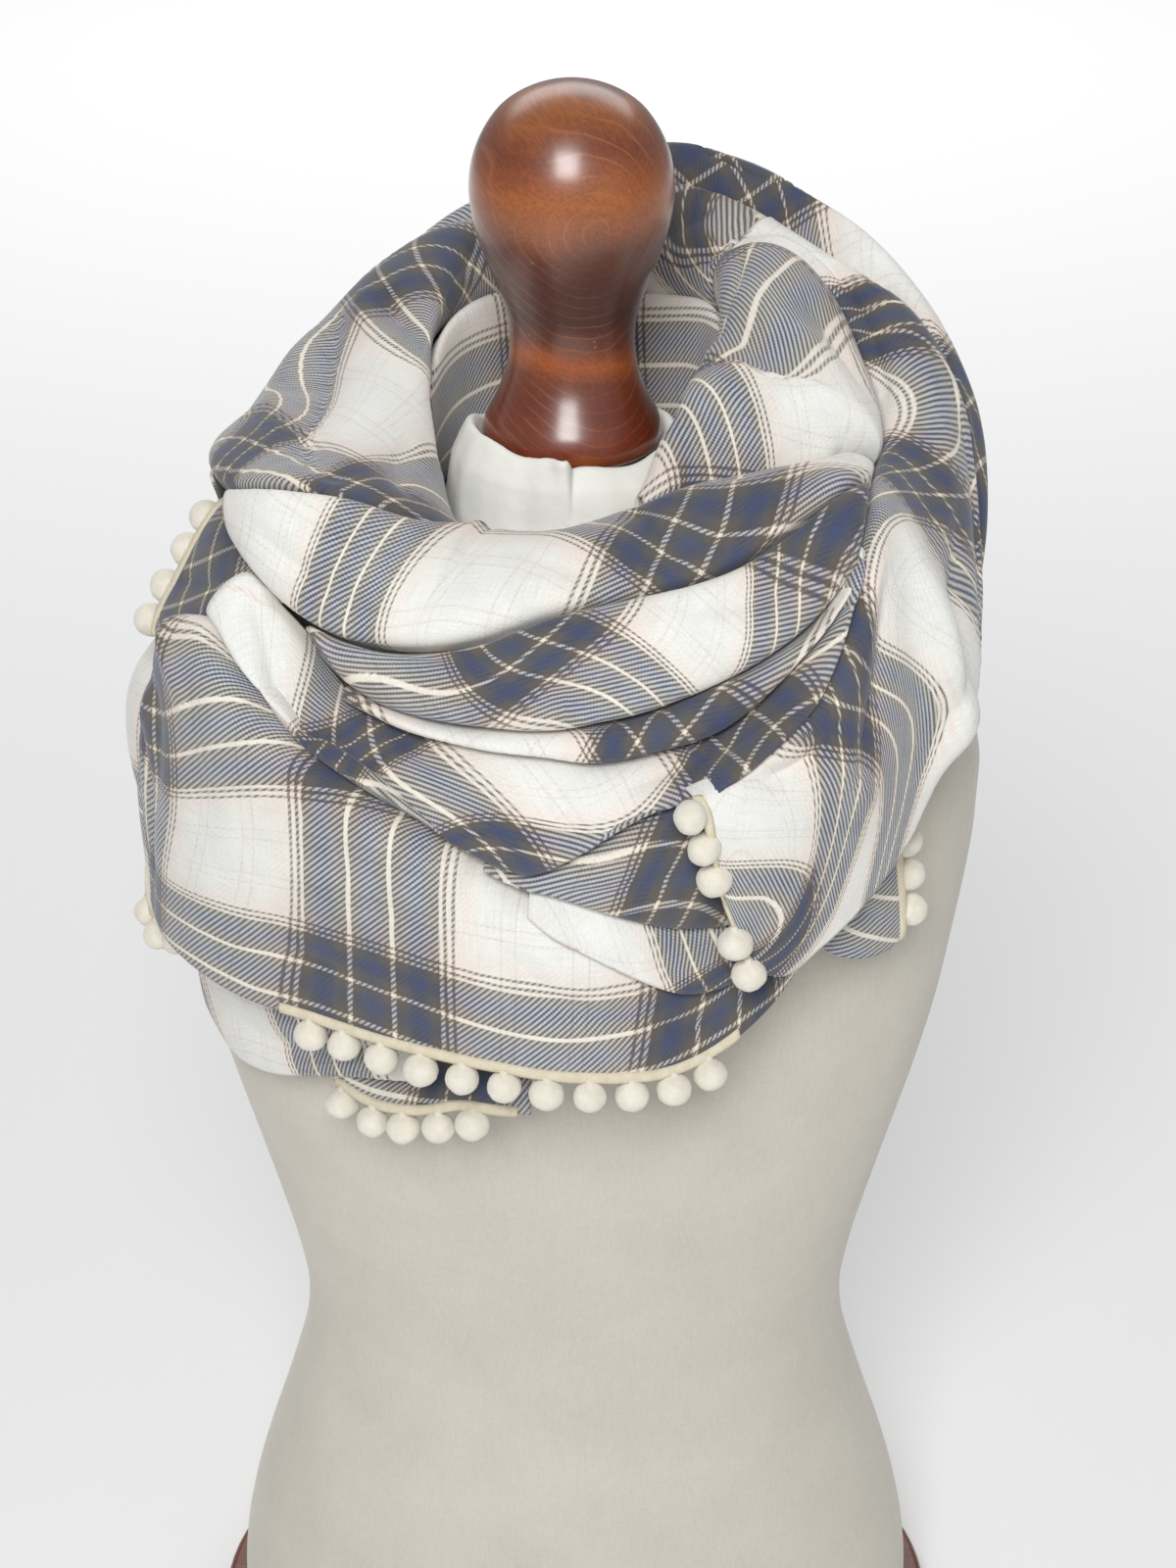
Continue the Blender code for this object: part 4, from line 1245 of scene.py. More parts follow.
@dataclass
class Pile:
    """The wound pile: where every stretch's sections run, clear of the form."""

    fine: int = 72
    lift: float = 0.25
    rings: Array = field(default_factory=lambda: np.array(TORSO[::-1], dtype=float))

    def core(self, azimuth: Array) -> Array:
        """Core points of the pile at azimuths, as radius and height."""
        wrapped = CORE + [row._replace(azimuth=row.azimuth + 360) for row in CORE[:2]]
        return smooth(wrapped, np.mod(azimuth, 360))

    def valley(self, names: list[str], azimuth: Array, last: bool) -> Array:
        """Follow the last, or the first, of some valleys that a section meets going outwards.

        Args:
            names: Valley lines, each with its own reach.
            azimuth: Azimuths to read at, in degrees.
            last: Whether the last one is followed, and not the first.

        Returns:
            Radius and height at each azimuth.
        """
        core = self.core(azimuth)
        best = np.full((len(azimuth), 2), np.nan)
        kept = np.full(len(azimuth), np.inf if last else -np.inf)
        for name in names:
            point = smooth(VALLEYS[name], azimuth)
            angle = np.degrees(np.arctan2(point[:, 1] - core[:, 1], point[:, 0] - core[:, 0]))
            angle = np.where(angle < -90, angle + 360, angle)
            better = angle < kept if last else angle > kept
            best[better] = point[better]
            kept[better] = angle[better]
        return best

    def form_radius(self, azimuth: Array, height: Array) -> Array:
        """Radii of the torso's surface at azimuths and heights.

        Args:
            azimuth: Azimuths, in degrees.
            height: Height at each of them.

        Returns:
            The radius at each.
        """
        sizes = [np.interp(height, self.rings[:, 0], self.rings[:, column])
                 for column in (1, 2, 3)]
        return oval_radius(azimuth, *sizes)

    def clear(self, azimuth: Array, points: Array) -> Array:
        """Move section points off the form: up off a shoulder, out from a side.

        Args:
            azimuth: Azimuths of the sections.
            points: Radius and height of each point of each section.

        Returns:
            The points, moved where they were too near.
        """
        radius, height = points[..., 0].copy(), points[..., 1].copy()
        around = np.broadcast_to(azimuth[:, None], radius.shape)
        near = height < TORSO[0].height
        while near.any():
            at, level = around[near], height[near]
            surface = self.form_radius(at, level)
            slope = self.form_radius(at, level - 1) - surface
            least = surface + REST_GAP * np.hypot(1, slope)
            inside = radius[near] < least
            side = inside & (slope < SIDE_SLOPE)
            rows = np.argwhere(near)
            out = rows[side]
            radius[out[:, 0], out[:, 1]] = least[side]
            up = rows[inside & ~side]
            height[up[:, 0], up[:, 1]] += self.lift
            near = np.zeros_like(near)
            near[up[:, 0], up[:, 1]] = height[up[:, 0], up[:, 1]] < TORSO[0].height
        return np.stack([radius, height], axis=-1)

    def slant(self, stretch: Stretch, names: list[str], azimuth: Array, last: bool,
              side: Array) -> Array:
        """How much further apart two edges are set, where their valley runs aslant.

        Args:
            stretch: The stretch.
            names: Valley lines of one of its edges.
            azimuth: Azimuths of the sections.
            last: Whether the last valley counts, and not the first.
            side: Way across the valley in each section.

        Returns:
            A factor for each section, 1 where the valley runs straight.
        """
        before = np.maximum(azimuth - SLANT_REACH, stretch.start)
        after = np.minimum(azimuth + SLANT_REACH, stretch.end)
        start, end = self.valley(names, before, last), self.valley(names, after, last)
        arc = np.radians(after - before) * (start[:, 0] + end[:, 0]) / 2
        rise = np.sum((end - start) * side, axis=1) / arc
        return np.minimum(np.hypot(1, rise), SLANT_MOST)[:, None]

    def sections(self, stretch: Stretch, azimuth: Array) -> Array:
        """Work out a stretch's sections at azimuths, as its solid has them but finer.

        Args:
            stretch: The stretch.
            azimuth: Azimuths of the sections, in degrees.

        Returns:
            Radius and height of each point, from the upper edge to the lower one.
        """
        core = self.core(azimuth)
        upper = self.valley(stretch.upper, azimuth, last=True)
        lower = self.valley(stretch.lower, azimuth, last=False)
        bulge, belly, turn_in, hang = np.split(smooth(stretch.swells, azimuth), 4, axis=1)
        out, under = unit(upper - core), unit(lower - core)
        side, beside = (np.stack([way[:, 1], -way[:, 0]], axis=1) for way in (out, under))
        hang = np.clip(hang, 0, 1)
        seat = (CLOTH + GAP) / 2
        first = upper + side * seat * self.slant(stretch, stretch.upper, azimuth, True, side)
        low = seat * self.slant(stretch, stretch.lower, azimuth, False, beside)
        fourth = lower - beside * low * (1 - hang)
        rise = unit(under * (1 - hang) + np.array((0.0, 1.0)) * hang)
        second = first + out * bulge
        third = fourth + rise * belly
        columns = [first - out * turn_in]
        for t in np.linspace(0, 1, self.fine):
            point = ((1 - t)**3 * first + 3 * t * (1 - t)**2 * second
                     + 3 * t**2 * (1 - t) * third + t**3 * fourth)
            if stretch.fold:
                point = point + unit(core - point) * self.groove(stretch.fold, azimuth, t)
            columns.append(point)
        columns.append(fourth - under * TUCK * (1 - hang) - np.array((0.0, HEM_EDGE)) * hang)
        return self.clear(azimuth, np.stack(columns, axis=1))

    def groove(self, fold: Fold, azimuth: Array, t: float) -> Array:
        """Depth of the grooves between a fold's lobes, a share t of the way down."""
        phase = 2 * math.pi * fold.lobes * (t + fold.drift * (azimuth - BACK) / 360)
        return (fold.depth * math.sin(math.pi * t) * (1 + np.cos(phase)) / 2)[:, None]


def run_along(path: Array) -> Array:
    """How far along a path each of its points lies."""
    return np.concatenate([[0], np.cumsum(np.linalg.norm(np.diff(path, axis=0), axis=1))])


def respace(points: Array, count: int) -> Array:
    """Space each row's points evenly along it.

    Args:
        points: Rows of points, in any number of dimensions.
        count: Points wanted in each row.

    Returns:
        Rows of that many points.
    """
    rows = []
    for row in points:
        run = run_along(row)
        at = np.linspace(0, run[-1], count)
        rows.append(np.stack([np.interp(at, run, row[:, axis])
                              for axis in range(row.shape[1])], axis=1))
    return np.array(rows)


def grid_mesh(points: Array) -> bmesh.types.BMesh:
    """Make a grid of faces and move it onto rows of points in millimetres.

    Args:
        points: Rows of points.

    Returns:
        The mesh, in metres.
    """
    rows, columns = points.shape[:2]
    builder = bmesh.new()
    bmesh.ops.create_grid(builder, x_segments=columns - 1, y_segments=rows - 1, size=1)
    for vert in builder.verts:
        column = round((vert.co.x + 1) / 2 * (columns - 1))
        row = round((vert.co.y + 1) / 2 * (rows - 1))
        vert.co = Vector(points[row, column]) * MM
    return builder


def tube_mesh(rings: Array) -> bmesh.types.BMesh:
    """Make a closed tube over rings of points in millimetres, with both ends filled.

    Args:
        rings: Rings of points, from one end to the other.

    Returns:
        The mesh, in metres.
    """
    builder = grid_mesh(np.concatenate([rings, rings[:, :1]], axis=1))
    bmesh.ops.remove_doubles(builder, verts=builder.verts[:], dist=MERGE)
    edges = [edge for edge in builder.edges if edge.is_boundary]
    if edges:
        bmesh.ops.holes_fill(builder, edges=edges)
    bmesh.ops.recalc_face_normals(builder, faces=builder.faces[:])
    return builder


def order_faces(builder: bmesh.types.BMesh) -> None:
    """Put the faces in the order of their points, as spinning leaves them in any order.

    Args:
        builder: The mesh.
    """
    builder.verts.index_update()
    count = len(builder.verts)
    corners = {face: [vert.index for vert in face.verts] for face in builder.faces}
    builder.faces.sort(key=lambda face: min(corners[face]) * count + max(corners[face]))


def stand(name: str, data: ID) -> Object:
    """Make an object and put it in the scene.

    Args:
        name: Its name.
        data: Its mesh, light or camera.

    Returns:
        The object.
    """
    item = bpy.data.objects.new(name, data)
    bpy.context.scene.collection.objects.link(item)
    return item


def to_mesh(name: str, builder: bmesh.types.BMesh) -> bpy.types.Mesh:
    """Make a mesh of a bmesh, and free it.

    Args:
        name: The mesh's name.
        builder: The bmesh, in metres.

    Returns:
        The mesh.
    """
    mesh = bpy.data.meshes.new(name)
    builder.to_mesh(mesh)
    builder.free()
    return mesh


def finish_piece(name: str, builder: bmesh.types.BMesh, material: Material,
                 nodes: Sequence[str]) -> Object:
    """Turn a bmesh into a dressed piece that rides on the body and stands for CAD nodes.

    Args:
        name: Name of the piece.
        builder: Its finished mesh, in metres.
        material: Its finish.
        nodes: CAD nodes that it stands for.

    Returns:
        The object, at the origin and unturned.
    """
    mesh = to_mesh(name, builder)
    mesh.shade_smooth()
    mesh.materials.append(material)
    piece = stand(name, mesh)
    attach(piece, BODY)
    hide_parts(*nodes)
    LOG.info("built %s: %d faces", name, len(mesh.polygons))
    return piece


def give_wall(piece: Object, thick: float) -> None:
    """Give a piece its wall, in millimetres, half to each side of its surface.

    Args:
        piece: The piece.
        thick: Thickness of the wall.
    """
    wall = piece.modifiers.new("wall", "SOLIDIFY")
    wall.thickness = thick * MM
    wall.offset = 0


@dataclass
class Cloth:
    """A stretch of the scarf: its form, its creases, its wall and its check."""

    name: str
    stretch: Stretch
    pile: Pile
    ripple: float = 1.0
    ripple_length: float = 34.0
    path_points: int = 28
    azimuths: Array = field(init=False)
    points: Array = field(init=False)
    normals: Array = field(init=False)

    def __post_init__(self) -> None:
        """Work out the stretch's surface."""
        self.shape()
        self.press()

    def shape(self) -> None:
        """Set the smooth surface between the valleys, evenly spaced down each section."""
        stretch = self.stretch
        inset = math.degrees(GAP / END_RADIUS)
        count = round((stretch.end - stretch.start) / FINE_STEP) + 1
        self.azimuths = np.linspace(stretch.start + inset, stretch.end - inset, count)
        flat = self.pile.sections(stretch, self.azimuths)
        longest = np.linalg.norm(np.diff(flat, axis=1), axis=2).sum(axis=1).max()
        across = min(math.ceil(longest / FINE_PITCH) + 1, MOST_ACROSS)
        flat = respace(flat, across)
        around = np.repeat(self.azimuths[:, None], across, axis=1)
        for edge, lean in ((0, stretch.lean), (-1, stretch.end_lean)):
            away = np.abs(self.azimuths - self.azimuths[edge]) / LEAN_REACH
            around += np.outer(np.clip(1 - away, 0, 1), np.linspace(*lean, across))
        self.points = to_space(around, flat[..., 0], flat[..., 1])
        self.find_normals()

    def find_normals(self) -> None:
        """Set the outward normal of every point."""
        along = np.gradient(self.points, axis=0)
        down = np.gradient(self.points, axis=1)
        self.normals = unit(np.cross(down, along))

    def at(self, azimuth: Array, share: Array) -> Array:
        """Points of the surface at azimuths and shares of the way down.

        Args:
            azimuth: Azimuths, in degrees.
            share: Share of the way down at each.

        Returns:
            The points.
        """
        rows, columns = self.points.shape[:2]
        row = np.interp(azimuth, self.azimuths, np.arange(rows))
        column = np.clip(share, 0, 1) * (columns - 1)
        low_row = np.minimum(row.astype(int), rows - 2)
        low_column = np.minimum(column.astype(int), columns - 2)
        down, over = (row - low_row)[:, None], (column - low_column)[:, None]
        grid = self.points
        return ((grid[low_row, low_column] * (1 - over)
                 + grid[low_row, low_column + 1] * over) * (1 - down)
                + (grid[low_row + 1, low_column] * (1 - over)
                   + grid[low_row + 1, low_column + 1] * over) * down)

    def crease_depth(self, crease: Crease) -> Array:
        """Depth of one crease at every point: deepest on its line, fading at both ends.

        Args:
            crease: The crease.

        Returns:
            How far each point moves out, in millimetres.
        """
        t = np.linspace(0, 1, self.path_points)
        first, last = 2 * (t - 0.5) * (t - 1), 2 * t * (t - 0.5)
        middle = 4 * t * (1 - t)
        azimuth = (first * crease.azimuth + middle * crease.middle_azimuth
                   + last * crease.end_azimuth)
        share = first * crease.share + middle * crease.middle_share + last * crease.end_share
        path = self.at(azimuth, share)
        gap = np.linalg.norm(self.points[:, :, None, :] - path, axis=3)
        near = gap.argmin(axis=2)
        distance = gap.min(axis=2)
        taper = np.sin(math.pi * np.clip(t[near], CREASE_TIP, 1 - CREASE_TIP))
        taper = taper ** CREASE_FADE
        profile = np.exp(CREASE_SOFT - np.hypot(distance / (crease.width * CREASE_WIDTH),
                                                CREASE_SOFT))
        return crease.depth * CREASE_DEPTH * taper * profile

    def press(self) -> None:
        """Press the creases and a little unevenness into the surface, easing off at its edges."""
        depth = np.zeros(self.points.shape[:2])
        for crease in self.stretch.creases:
            depth += self.crease_depth(crease)
        seed = sum(map(ord, self.name))
        for row, column in np.ndindex(depth.shape):
            place = Vector(self.points[row, column]) / self.ripple_length
            depth[row, column] += self.ripple * noise.noise(place + Vector((seed, 0, 0)))
        share = np.linspace(0, 1, depth.shape[1])
        ease = (np.clip(share / CREASE_START, 0, 1)
                * np.clip((1 - share) / HEM_FADE, HEM_LEAST, 1))
        self.points = self.points + self.normals * (depth * ease)[..., None]
        self.find_normals()

    def place(self, azimuth: float, share: float) -> tuple[int, int]:
        """Row and column of the surface's point nearest to an azimuth and share."""
        row = int(np.abs(self.azimuths - azimuth).argmin())
        return row, round(share * (self.points.shape[1] - 1))

    def thread_map(self) -> Array:
        """Work out where every point lies on the flat cloth, along its headings.

        Returns:
            The place of every point, in repeats of the check.
        """
        weave = self.stretch.weave
        pins = weave.pins
        row, column = self.place(pins[0].azimuth, pins[0].share)
        steps = np.linalg.norm(np.diff(self.points[:, column], axis=0), axis=1)
        knots = [heading.azimuth for heading in weave.headings]
        angle = np.radians(np.interp(self.azimuths, knots, [h.angle for h in weave.headings]))
        turned = (angle[1:] + angle[:-1]) / 2
        moves = steps[:, None] * np.stack([np.cos(turned), np.sin(turned)], axis=1)
        spine = np.concatenate([[[0, 0]], np.cumsum(moves, axis=0)])
        spine = spine - spine[row]
        drops = np.linalg.norm(np.diff(self.points, axis=1), axis=2)
        run = np.concatenate([np.zeros((len(drops), 1)), np.cumsum(drops, axis=1)], axis=1)
        run = run - run[:, column:column + 1]
        down = np.stack([-np.sin(angle), np.cos(angle)], axis=1)
        return (spine[:, None, :] + run[..., None] * down[:, None, :]) / REPEAT

    def pinned(self, flat: Array) -> Array:
        """Args:
            flat: Where every point lies before the shift, in repeats.

        Returns:
            The shift of every point, in repeats.
        """
        pins = self.stretch.weave.pins
        spots = [self.place(pin.azimuth, pin.share) for pin in pins]
        wanted = np.array([(pin.across, pin.along) for pin in pins])
        missing = wanted - np.array([flat[spot] for spot in spots])
        mean = missing.mean(axis=0)
        centres = np.array([self.points[spot] for spot in spots])
        apart = np.linalg.norm(centres[:, None] - centres, axis=2)
        pull = np.exp(-(apart / PIN_REACH) ** 2) + PIN_GIVE * np.eye(len(pins))
        weights = np.linalg.solve(pull, missing - mean)
        away = np.linalg.norm(self.points[:, :, None] - centres, axis=3)
        return mean + np.exp(-(away / PIN_REACH) ** 2) @ weights

    def cut(self) -> Pair:
        """Flat width and length of the stretch, in metres.

        Returns:
            Mean length of its sections, then of its run.
        """
        down = np.linalg.norm(np.diff(self.points, axis=1), axis=2).sum(axis=1).mean()
        along = np.linalg.norm(np.diff(self.points, axis=0), axis=2).sum(axis=0).mean()
        return float(down * MM), float(along * MM)

    def build(self, material: Material) -> Object:
        """Build the stretch's mesh with its flat map and its wall.

        Args:
            material: The flannel.

        Returns:
            The piece.
        """
        piece = finish_piece(self.name, grid_mesh(self.points), material,
                             [self.name])
        mesh = piece.data
        thread = self.thread_map()
        corners = np.empty(len(mesh.loops), dtype=np.int32)
        mesh.loops.foreach_get("vertex_index", corners)
        for name, flat in ((FLAT_MAP, thread + self.pinned(thread)), (THREAD_MAP, thread)):
            layer = mesh.uv_layers.new(name=name)
            layer.data.foreach_set("uv", flat.reshape(-1, 2)[corners].ravel())
        give_wall(piece, WALL)
        return piece


@dataclass
class Braid:
    """Pom-pom braid along an edge: a flat woven tape and felt balls on short necks.

    Out is how far a ball's middle stands out from the edge, and drop how far it hangs. The neck
    starts at root, a way out of the cloth's face and a way back from its edge. Lumps are sizes
    and shares of unevenness. Uneven holds the least and the most that a ball strays along the
    edge, outwards, off the face and in its radius.
    """

    name: str
    cloth: Cloth
    runs: Sequence[Run]
    jitter: np.random.Generator
    out: float = 5.8
    drop: float = 1.2
    ball_radius: float = 6.9
    ball_squash: float = 0.94
    neck: Pair = (1.5, 2.4)
    neck_sides: int = 8
    root: Pair = (0.9, 0.8)
    lumps: tuple[Pair, ...] = ((5.5, 0.055), (1.7, 0.03))
    uneven: tuple[Pair, ...] = (
        (-0.7, 0.7), (-0.4, 0.3), (-0.5, 1.0), (-0.3, 0.2))
    tape_width: float = 4.6
    tape_wall: float = 0.9
    tape_out: float = 1.0
    tape_gap: float = 0.1
    tape_sink: float = 0.9
    tape_lines: int = 5
    step: float = 1.5
    edge: Array = field(init=False)
    away: Array = field(init=False)
    face: Array = field(init=False)
    length: float = field(init=False)

    def __post_init__(self) -> None:
        """Gather the edge, the way out of it and the cloth's face along the runs."""
        parts = [self.follow(run) for run in self.runs]
        edge, away, face = (np.concatenate([part[k] for part in parts]) for k in range(3))
        run = run_along(edge)
        at = np.linspace(0, run[-1], round(run[-1] / self.step))
        self.edge, self.away, self.face = (
            np.stack([np.interp(at, run, rows[:, axis]) for axis in range(3)], axis=1)
            for rows in (edge, away, face))
        self.away, self.face = unit(self.away), unit(self.face)
        self.length = float(run[-1])

    def follow(self, run: Run) -> tuple[Array, Array, Array]:
        """Edge points, ways out and face normals along one run.

        Args:
            run: The run.

        Returns:
            The three, one row for each point.
        """
        grid, normals = self.cloth.points, self.cloth.normals
        if run.side is Side.HEM:
            turn = 360 if run.first > self.cloth.stretch.end else 0
            first, last = run.first - turn - HEM_SLACK, run.last - turn + HEM_SLACK
            rows = [k for k, azimuth in enumerate(self.cloth.azimuths)
                    if first <= azimuth <= last]
            return grid[rows, -1], unit(grid[rows, -1] - grid[rows, -4]), normals[rows, -2]
        row, inner = (0, 2) if run.side is Side.START else (-1, -3)
        columns = grid.shape[1] - 1
        chosen = list(range(round(run.first * columns), round(run.last * columns) + 1))
        return (grid[row, chosen], unit(grid[row, chosen] - grid[inner, chosen]),
                normals[row, chosen])

    def build_tape(self, material: Material, node: str) -> Object:
        """Build the woven tape that lies on the cloth's face along the edge.

        Args:
            material: The weave of the tape.
            node: CAD node that it stands for.

        Returns:
            The piece.
        """
        lift = (WALL + self.tape_wall) / 2 + self.tape_gap
        shares = np.linspace(-self.tape_out, self.tape_width - self.tape_out, self.tape_lines)
        sides = (0, self.tape_lines - 1)
        rows = [self.edge + self.face * (lift - self.tape_sink * (k in sides))
                - self.away * inset for k, inset in enumerate(shares)]
        piece = finish_piece(f"{self.name}_tape", grid_mesh(np.stack(rows, axis=1)), material,
                             [node])
        give_wall(piece, self.tape_wall)
        return piece

    def add_ball(self, builder: bmesh.types.BMesh, place: Array, root: Array,
                 radius: float) -> None:
        """Add one felt ball, a little uneven, and the neck that it hangs by.

        Args:
            builder: Mesh that the ball is added to.
            place: The ball's middle.
            root: Where its neck starts.
            radius: The ball's radius.
        """
        way = Vector(unit(place - root))
        turn = way.to_track_quat("Z", "Y").to_matrix().to_4x4()
        centre = Vector(place) * MM
        squash = Matrix.Diagonal((1.0, 1.0, self.ball_squash, 1.0))
        ball = bmesh.ops.create_icosphere(builder, subdivisions=3, radius=radius * MM,
                                          matrix=Matrix.Translation(centre) @ turn @ squash)
        for vert in ball["verts"]:
            arm = vert.co - centre
            lump = sum(noise.noise(vert.co / (size * MM)) * share for size, share in self.lumps)
            vert.co = centre + arm * (1 + lump)
        reach = float(np.linalg.norm(place - root))
        middle = Matrix.Translation(Vector((place + root) / 2) * MM)
        first, second = self.neck
        bmesh.ops.create_cone(builder, cap_ends=True, segments=self.neck_sides,
                              radius1=first * MM, radius2=second * MM, depth=reach * MM,
                              matrix=middle @ turn)

    def build_balls(self, material: Material, node: str) -> Object:
        """Build the row of felt balls as one piece.

        Args:
            material: The felt.
            node: CAD node that they stand for.

        Returns:
            The piece.
        """
        builder = bmesh.new()
        count = max(int(self.length // BALL_PITCH), 1)
        spare = self.length - (count - 1) * BALL_PITCH
        last = len(self.edge) - 1
        for number in range(count):
            along, outward, lift, swell = (self.jitter.uniform(*pair) for pair in self.uneven)
            at = spare / 2 + number * BALL_PITCH + along
            k = min(int(at / self.length * last), last)
            edge, away, face = self.edge[k], self.away[k], self.face[k]
            root = edge + face * self.root[0] - away * self.root[1]
            place = edge + away * (self.out + outward) + face * lift
            place = place - np.array((0, 0, self.drop))
            self.add_ball(builder, place, root, self.ball_radius + swell)
        return finish_piece(f"{self.name}_balls", builder, material, [node])

    def build(self, felt: Material, tape: Material, node: str) -> list[Object]:
        """Build the tape and the balls of the braid."""
        return [self.build_tape(tape, node), self.build_balls(felt, node)]


@dataclass(frozen=True)
class Rim:
    """The neck cover's turned rim: how it stands, its one pleat and its small waves.

    Places and widths are in degrees from the front, sizes in millimetres. The pleat swells from
    its start over its reach, and ends in an open edge that curls out.
    """

    stand: float = 2.5
    bulges: tuple[Triple, ...] = ((-72, 8.5, 42), (150, 4.0, 60))
    sway: Triple = (7, 1.0, 40)
    waves: tuple[Triple, ...] = (
        (5, 0.5, 20), (9, 0.35, 110), (14, 0.25, 200), (23, 0.14, 60))
    pleat_start: float = -40.0
    pleat_reach: float = 34.0
    pleat_edge: float = 1.8
    pleat_rise: float = 6.0
    pleat_depth: float = 3.8
    curl_place: float = -4.0
    curl_width: float = 4.5
    curl_depth: float = 5.0

    def wave(self, turn: Array, count: float, size: float, phase: float) -> Array:
        """An even wave round the rim."""
        return size * np.sin(np.radians(turn * count + phase))

    def level(self, turn: Array, level: Level) -> tuple[Array, Array]:
        """Work out one level of the cover.

        Args:
            turn: Azimuths, from -180 to 180.
            level: The level before the rim's stand, its waves and its pleat.

        Returns:
            Radius and height at each azimuth.
        """
        share = level.share
        stand = sum((size * np.exp(-((turn - place) / width) ** 2)
                     for place, size, width in self.bulges), self.stand)
        stand = stand + self.wave(turn, *self.sway)
        swell = np.clip((turn - self.pleat_start) / self.pleat_reach, 0, 1)
        pleat = swell * swell * (3 - 2 * swell) * np.clip((0 - turn) / self.pleat_edge, 0, 1)
        curl = np.exp(-((turn - self.curl_place) / self.curl_width) ** 2)
        soft = sum(self.wave(turn, *wave) for wave in self.waves)
        top = stand * share + pleat * self.pleat_rise * share
        out = (level.radius + soft * (0.4 + 0.6 * (1 - share))
               + pleat * self.pleat_depth * share ** 0.5
               + curl * self.curl_depth * share * share)
        return out, level.height + top


